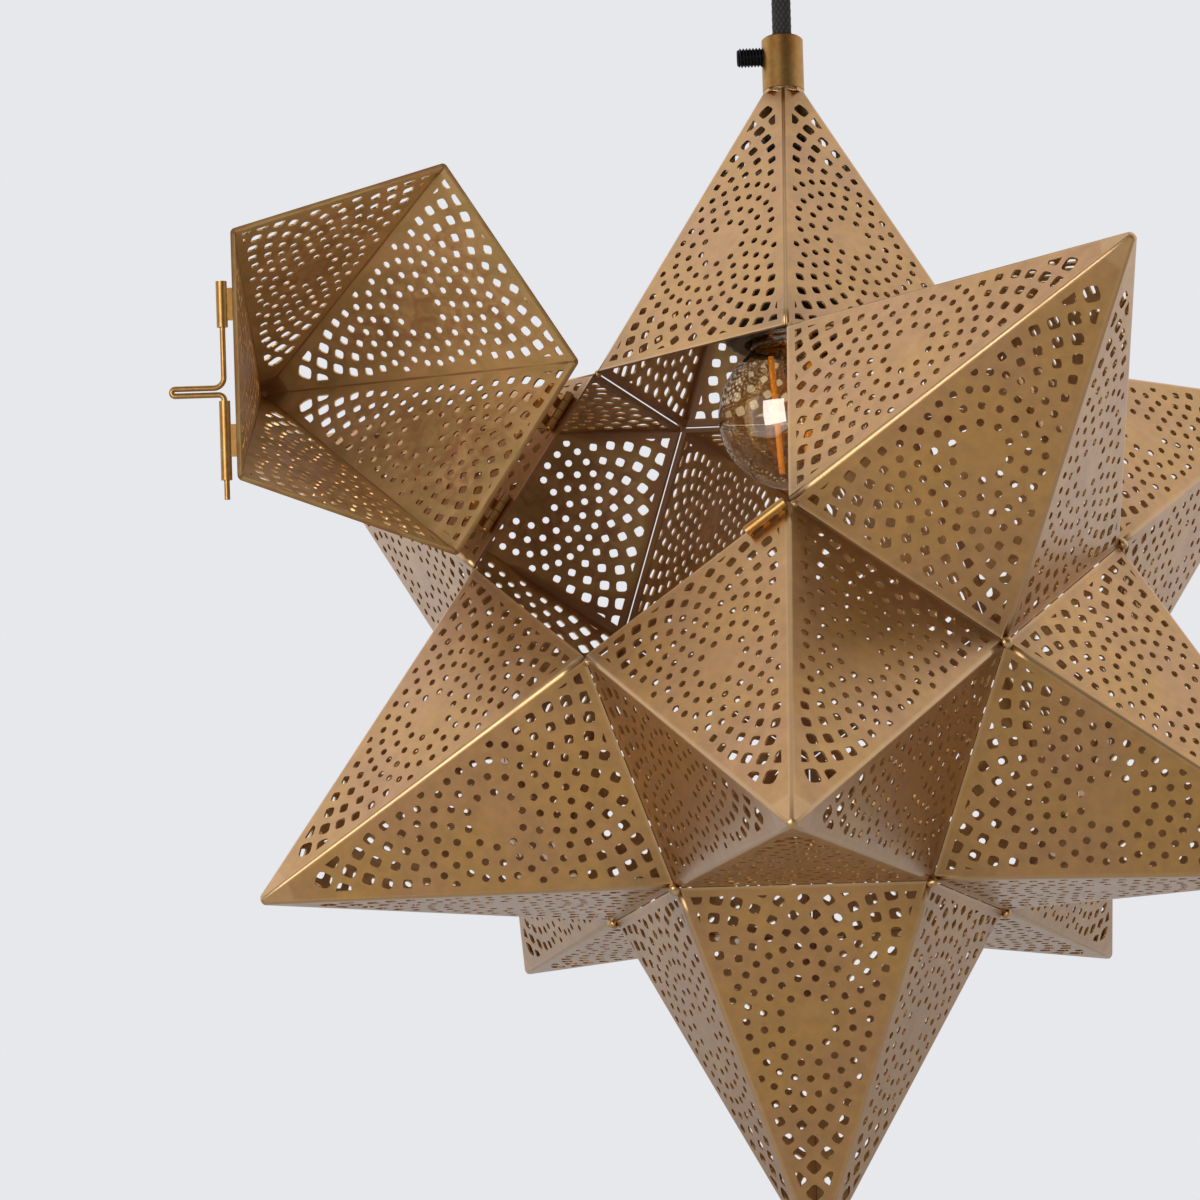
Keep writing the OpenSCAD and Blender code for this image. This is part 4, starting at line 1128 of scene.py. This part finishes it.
class LANTERN_OT_solder(bpy.types.Operator):
    """Makes the lumps of solder on the corners of the star and under the collar"""
    bl_idname = "lantern.solder"
    bl_label = "Solder"

    def execute(self, context):
        s = star_shape(context)
        d = in_mm(context.scene.lantern.solder)
        shut = seat(s, DOOR_POINT)
        bases = [seat(s, place) for place in FIXED_POINTS.values()]
        bases += [shut, at_point(s, 0, 90, 0), at_point(s, 0, -90, 0)]
        # Corners that several points share are found once, in the order in which they come up
        corners = {}
        for base in bases:
            for k in range(5):
                corner = base @ turn_about("Z", WALL_STEP * k) @ Vector((s.edge / 2, s.apothem, 0))
                corners[tuple(round(v) for v in corner)] = corner
        points, faces = [], []
        for seed, corner in enumerate(corners.values()):
            out = (corner - Vector((0, 0, s.middle))).normalized()
            in_door = shut.inverted() @ corner
            if abs(in_door.z) < 1:
                # The door has to shut beside this one, so it is small and lies back from the door
                aside = Vector((in_door.x, in_door.y, 0)).normalized() * d.door_r * 0.7
                spot = shut @ (in_door + aside - Vector((0, 0, d.door_r + 0.3)))
                placed, loops = lump(spot, out, d.door_r * 0.85, d.door_r * 0.8, seed)
            else:
                placed, loops = lump(corner + out * d.proud, out, d.corner_r, d.corner_r * 0.8, seed)
            faces += [[i + len(points) for i in loop] for loop in loops]
            points += placed
        make_piece("corner_solder_lumps", points, faces, [hard_solder], "lantern",
                   ["corner_solder"])

        points, faces = collar_ring(s, d)
        make_piece("collar_solder_ring", points, faces, [hard_solder], "lantern",
                   ["collar_solder"])
        return {"FINISHED"}


class LANTERN_OT_collar(bpy.types.Operator):
    """Finishes the collar and makes the threaded screw that clamps the cord"""
    bl_idname = "lantern.collar"
    bl_label = "Collar and clamp screw"

    def execute(self, context):
        dress("collar", turned_brass, 0.3)
        c = in_mm(context.scene.lantern.cord)
        low, high = box_mm("clamp_screw")
        d = high.z - low.z
        length_mm = high.x - low.x
        points, faces = threaded_rod(d, c.thread_pitch, length_mm, c.thread_pitch * 0.8)
        # The screw points to -X, with its inner end beside the cord
        lay = Matrix.Translation((high.x, 0, (low.z + high.z) / 2)) @ turn_about("Y", -90)
        screw = make_piece("clamp_screw_thread", [lay @ Vector(p) for p in points], faces, [blacked_steel],
                           "clamp", ["clamp_screw"], smooth=False)
        half = c.slot_w / 2
        points, faces = block((-d, -half, length_mm - c.slot_depth), (d, half, length_mm + 1))
        cutter = new_object("slot", new_mesh("slot", [lay @ Vector(p) for p in points], faces))
        slot = screw.modifiers.new("slot", "BOOLEAN")
        slot.object = cutter
        slot.solver = "EXACT"
        screw.data = bpy.data.meshes.new_from_object(screw.evaluated_get(context.evaluated_depsgraph_get()))
        screw.modifiers.clear()
        bpy.data.objects.remove(cutter)
        return {"FINISHED"}


class LANTERN_OT_lampholder(bpy.types.Operator):
    """Finishes the bakelite lampholder and what is inside it"""
    bl_idname = "lantern.lampholder"
    bl_label = "Lampholder"

    def execute(self, context):
        dress("holder_cap", bakelite, 0.3)
        dress("holder_skirt", bakelite, 0.3)
        dress("holder_nipple", zinc_plate, 0.15)
        dress("holder_sleeve", pressed_brass, 0.1)
        dress("holder_insulator", glazed_porcelain, 0.3)
        dress("holder_contact", tinned_metal, 0.1)
        return {"FINISHED"}


class LANTERN_OT_bulb(bpy.types.Operator):
    """Finishes the bulb: its glass, cap, stem and filaments"""
    bl_idname = "lantern.bulb"
    bl_label = "Bulb"

    def execute(self, context):
        b = in_mm(context.scene.lantern.bulb)
        low, high = box_mm("bulb_glass")
        globe_r = high.x
        neck_r = box_mm("bulb_cap")[1].x - b.neck_gap
        middle = low.z + globe_r

        def skin(depth):
            """The line of one side of the glass, from its lowest point up to the top of the neck."""
            globe, neck = globe_r - depth, neck_r - depth
            line = [(0, middle - globe)]
            for degrees in range(-86, 81, 4):
                r = globe * math.cos(math.radians(degrees))
                if degrees > 0:
                    r = (r ** b.flare + neck ** b.flare) ** (1 / b.flare)
                line.append((r, middle + globe * math.sin(math.radians(degrees))))
            return line + [(neck, high.z)]

        points, faces = turned(skin(0) + skin(b.glass)[::-1], 96)
        make_piece("bulb_globe", points, faces, [blown_glass], "lantern", ["bulb_glass"])
        dress("bulb_stem", blown_glass)
        dress("bulb_cap", pressed_brass, 0.1)
        dress("bulb_insulator", black_glass)
        dress("bulb_contact", tinned_metal, 0.15)
        dress("bulb_filaments", phosphor, 0.3)
        return {"FINISHED"}


class LANTERN_OT_rose(bpy.types.Operator):
    """Finishes the ceiling rose and what is inside it"""
    bl_idname = "lantern.rose"
    bl_label = "Ceiling rose"

    def execute(self, context):
        dress("rose_cup", turned_brass, 0.2)
        dress("rose_strap", zinc_plate, 0.2)
        dress("rose_side_screws", turned_brass, 0.15)
        dress("cord_grip", turned_brass, 0.3)
        dress("grip_nut", zinc_plate, 0.2)
        dress("terminal_block", glazed_porcelain, 0.3)
        dress("terminal_screws", zinc_plate, 0.1)
        dress("cord_cores", core_pvc)
        return {"FINISHED"}


class LANTERN_OT_stage(bpy.types.Operator):
    """Lays the pale floor and sets up the studio light"""
    bl_idname = "lantern.stage"
    bl_label = "Stage"

    def execute(self, context):
        stage = in_mm(context.scene.lantern.stage)
        shades = context.scene.lantern.stage
        middle = star_shape(context).middle
        level = CAD_BOX[0].z / MM - stage.floor_drop
        half = stage.floor_size / 2
        corners = [(-half, -half, level), (half, -half, level), (half, half, level), (-half, half, level)]
        floor = new_object("floor", new_mesh("floor", corners, [(0, 1, 2, 3)]))
        floor.data.materials.append(finish(painted_floor))

        world = bpy.data.worlds.new("studio")
        world.use_nodes = True
        tree = world.node_tree
        tree.nodes.clear()
        way = add(tree, "TexCoord").outputs["Generated"]
        parts = add(tree, "SeparateXYZ", {0: way})
        share = add(tree, "MapRange", {"Value": parts.outputs["Y"], "From Min": PALE_FROM,
                                       "From Max": PALE_TO})
        tone = add(tree, "Mix", {0: share, 6: shades.shade, 7: shades.pale}, data_type="RGBA")
        light = add(tree, "Background", {"Color": tone, "Strength": 1.0})
        add(tree, "OutputWorld", {"Surface": light})
        context.scene.world = world

        for name, (az, el, far, wide, high, power) in SOFT_BOXES.items():
            lamp = bpy.data.lights.new(name, "AREA")
            lamp.shape = "RECTANGLE"
            lamp.size = wide
            lamp.size_y = high
            lamp.energy = power
            box = new_object(name, lamp)
            az, el = math.radians(az), math.radians(el)
            out = Vector((math.sin(az) * math.cos(el), -math.cos(az) * math.cos(el), math.sin(el)))
            box.location = Vector((0, 0, middle * MM)) + out * far
            box.rotation_euler = out.to_track_quat("Z", "Y").to_euler()
        context.scene.view_settings.view_transform = "Standard"
        return {"FINISHED"}


class LANTERN_PT_pieces(bpy.types.Panel):
    """Lists the pieces of the lantern"""
    bl_idname = "LANTERN_PT_pieces"
    bl_label = "Pierced star lantern"
    bl_space_type = "VIEW_3D"
    bl_region_type = "UI"
    bl_category = "Lantern"

    def draw(self, context):
        for maker in MAKERS:
            self.layout.operator(maker.bl_idname)
        for name in ("star", "piercing", "door", "cord", "solder", "bulb", "colours", "stage"):
            group = getattr(context.scene.lantern, name)
            box = self.layout.box()
            box.label(text=name.capitalize())
            for p in group.bl_rna.properties:
                if p.identifier not in {"rna_type", "name"}:
                    box.prop(group, p.identifier)


MAKERS = [LANTERN_OT_camera, LANTERN_OT_cord, LANTERN_OT_points, LANTERN_OT_door, LANTERN_OT_hinges,
          LANTERN_OT_bolt, LANTERN_OT_solder, LANTERN_OT_collar, LANTERN_OT_lampholder, LANTERN_OT_bulb,
          LANTERN_OT_rose, LANTERN_OT_stage]
GROUPS = [LANTERN_PG_star, LANTERN_PG_piercing, LANTERN_PG_door, LANTERN_PG_cord, LANTERN_PG_solder,
          LANTERN_PG_bulb, LANTERN_PG_colours, LANTERN_PG_stage, LANTERN_PG_settings]


def register():
    for part in GROUPS + MAKERS + [LANTERN_PT_pieces]:
        bpy.utils.register_class(part)
    bpy.types.Scene.lantern = PointerProperty(type=LANTERN_PG_settings)


def unregister():
    del bpy.types.Scene.lantern
    for part in reversed(GROUPS + MAKERS + [LANTERN_PT_pieces]):
        bpy.utils.unregister_class(part)


def main():
    """Makes every piece in order."""
    register()
    for maker in MAKERS:
        family, name = maker.bl_idname.split(".")
        getattr(getattr(bpy.ops, family), name)()


if __name__ == "__main__":
    main()
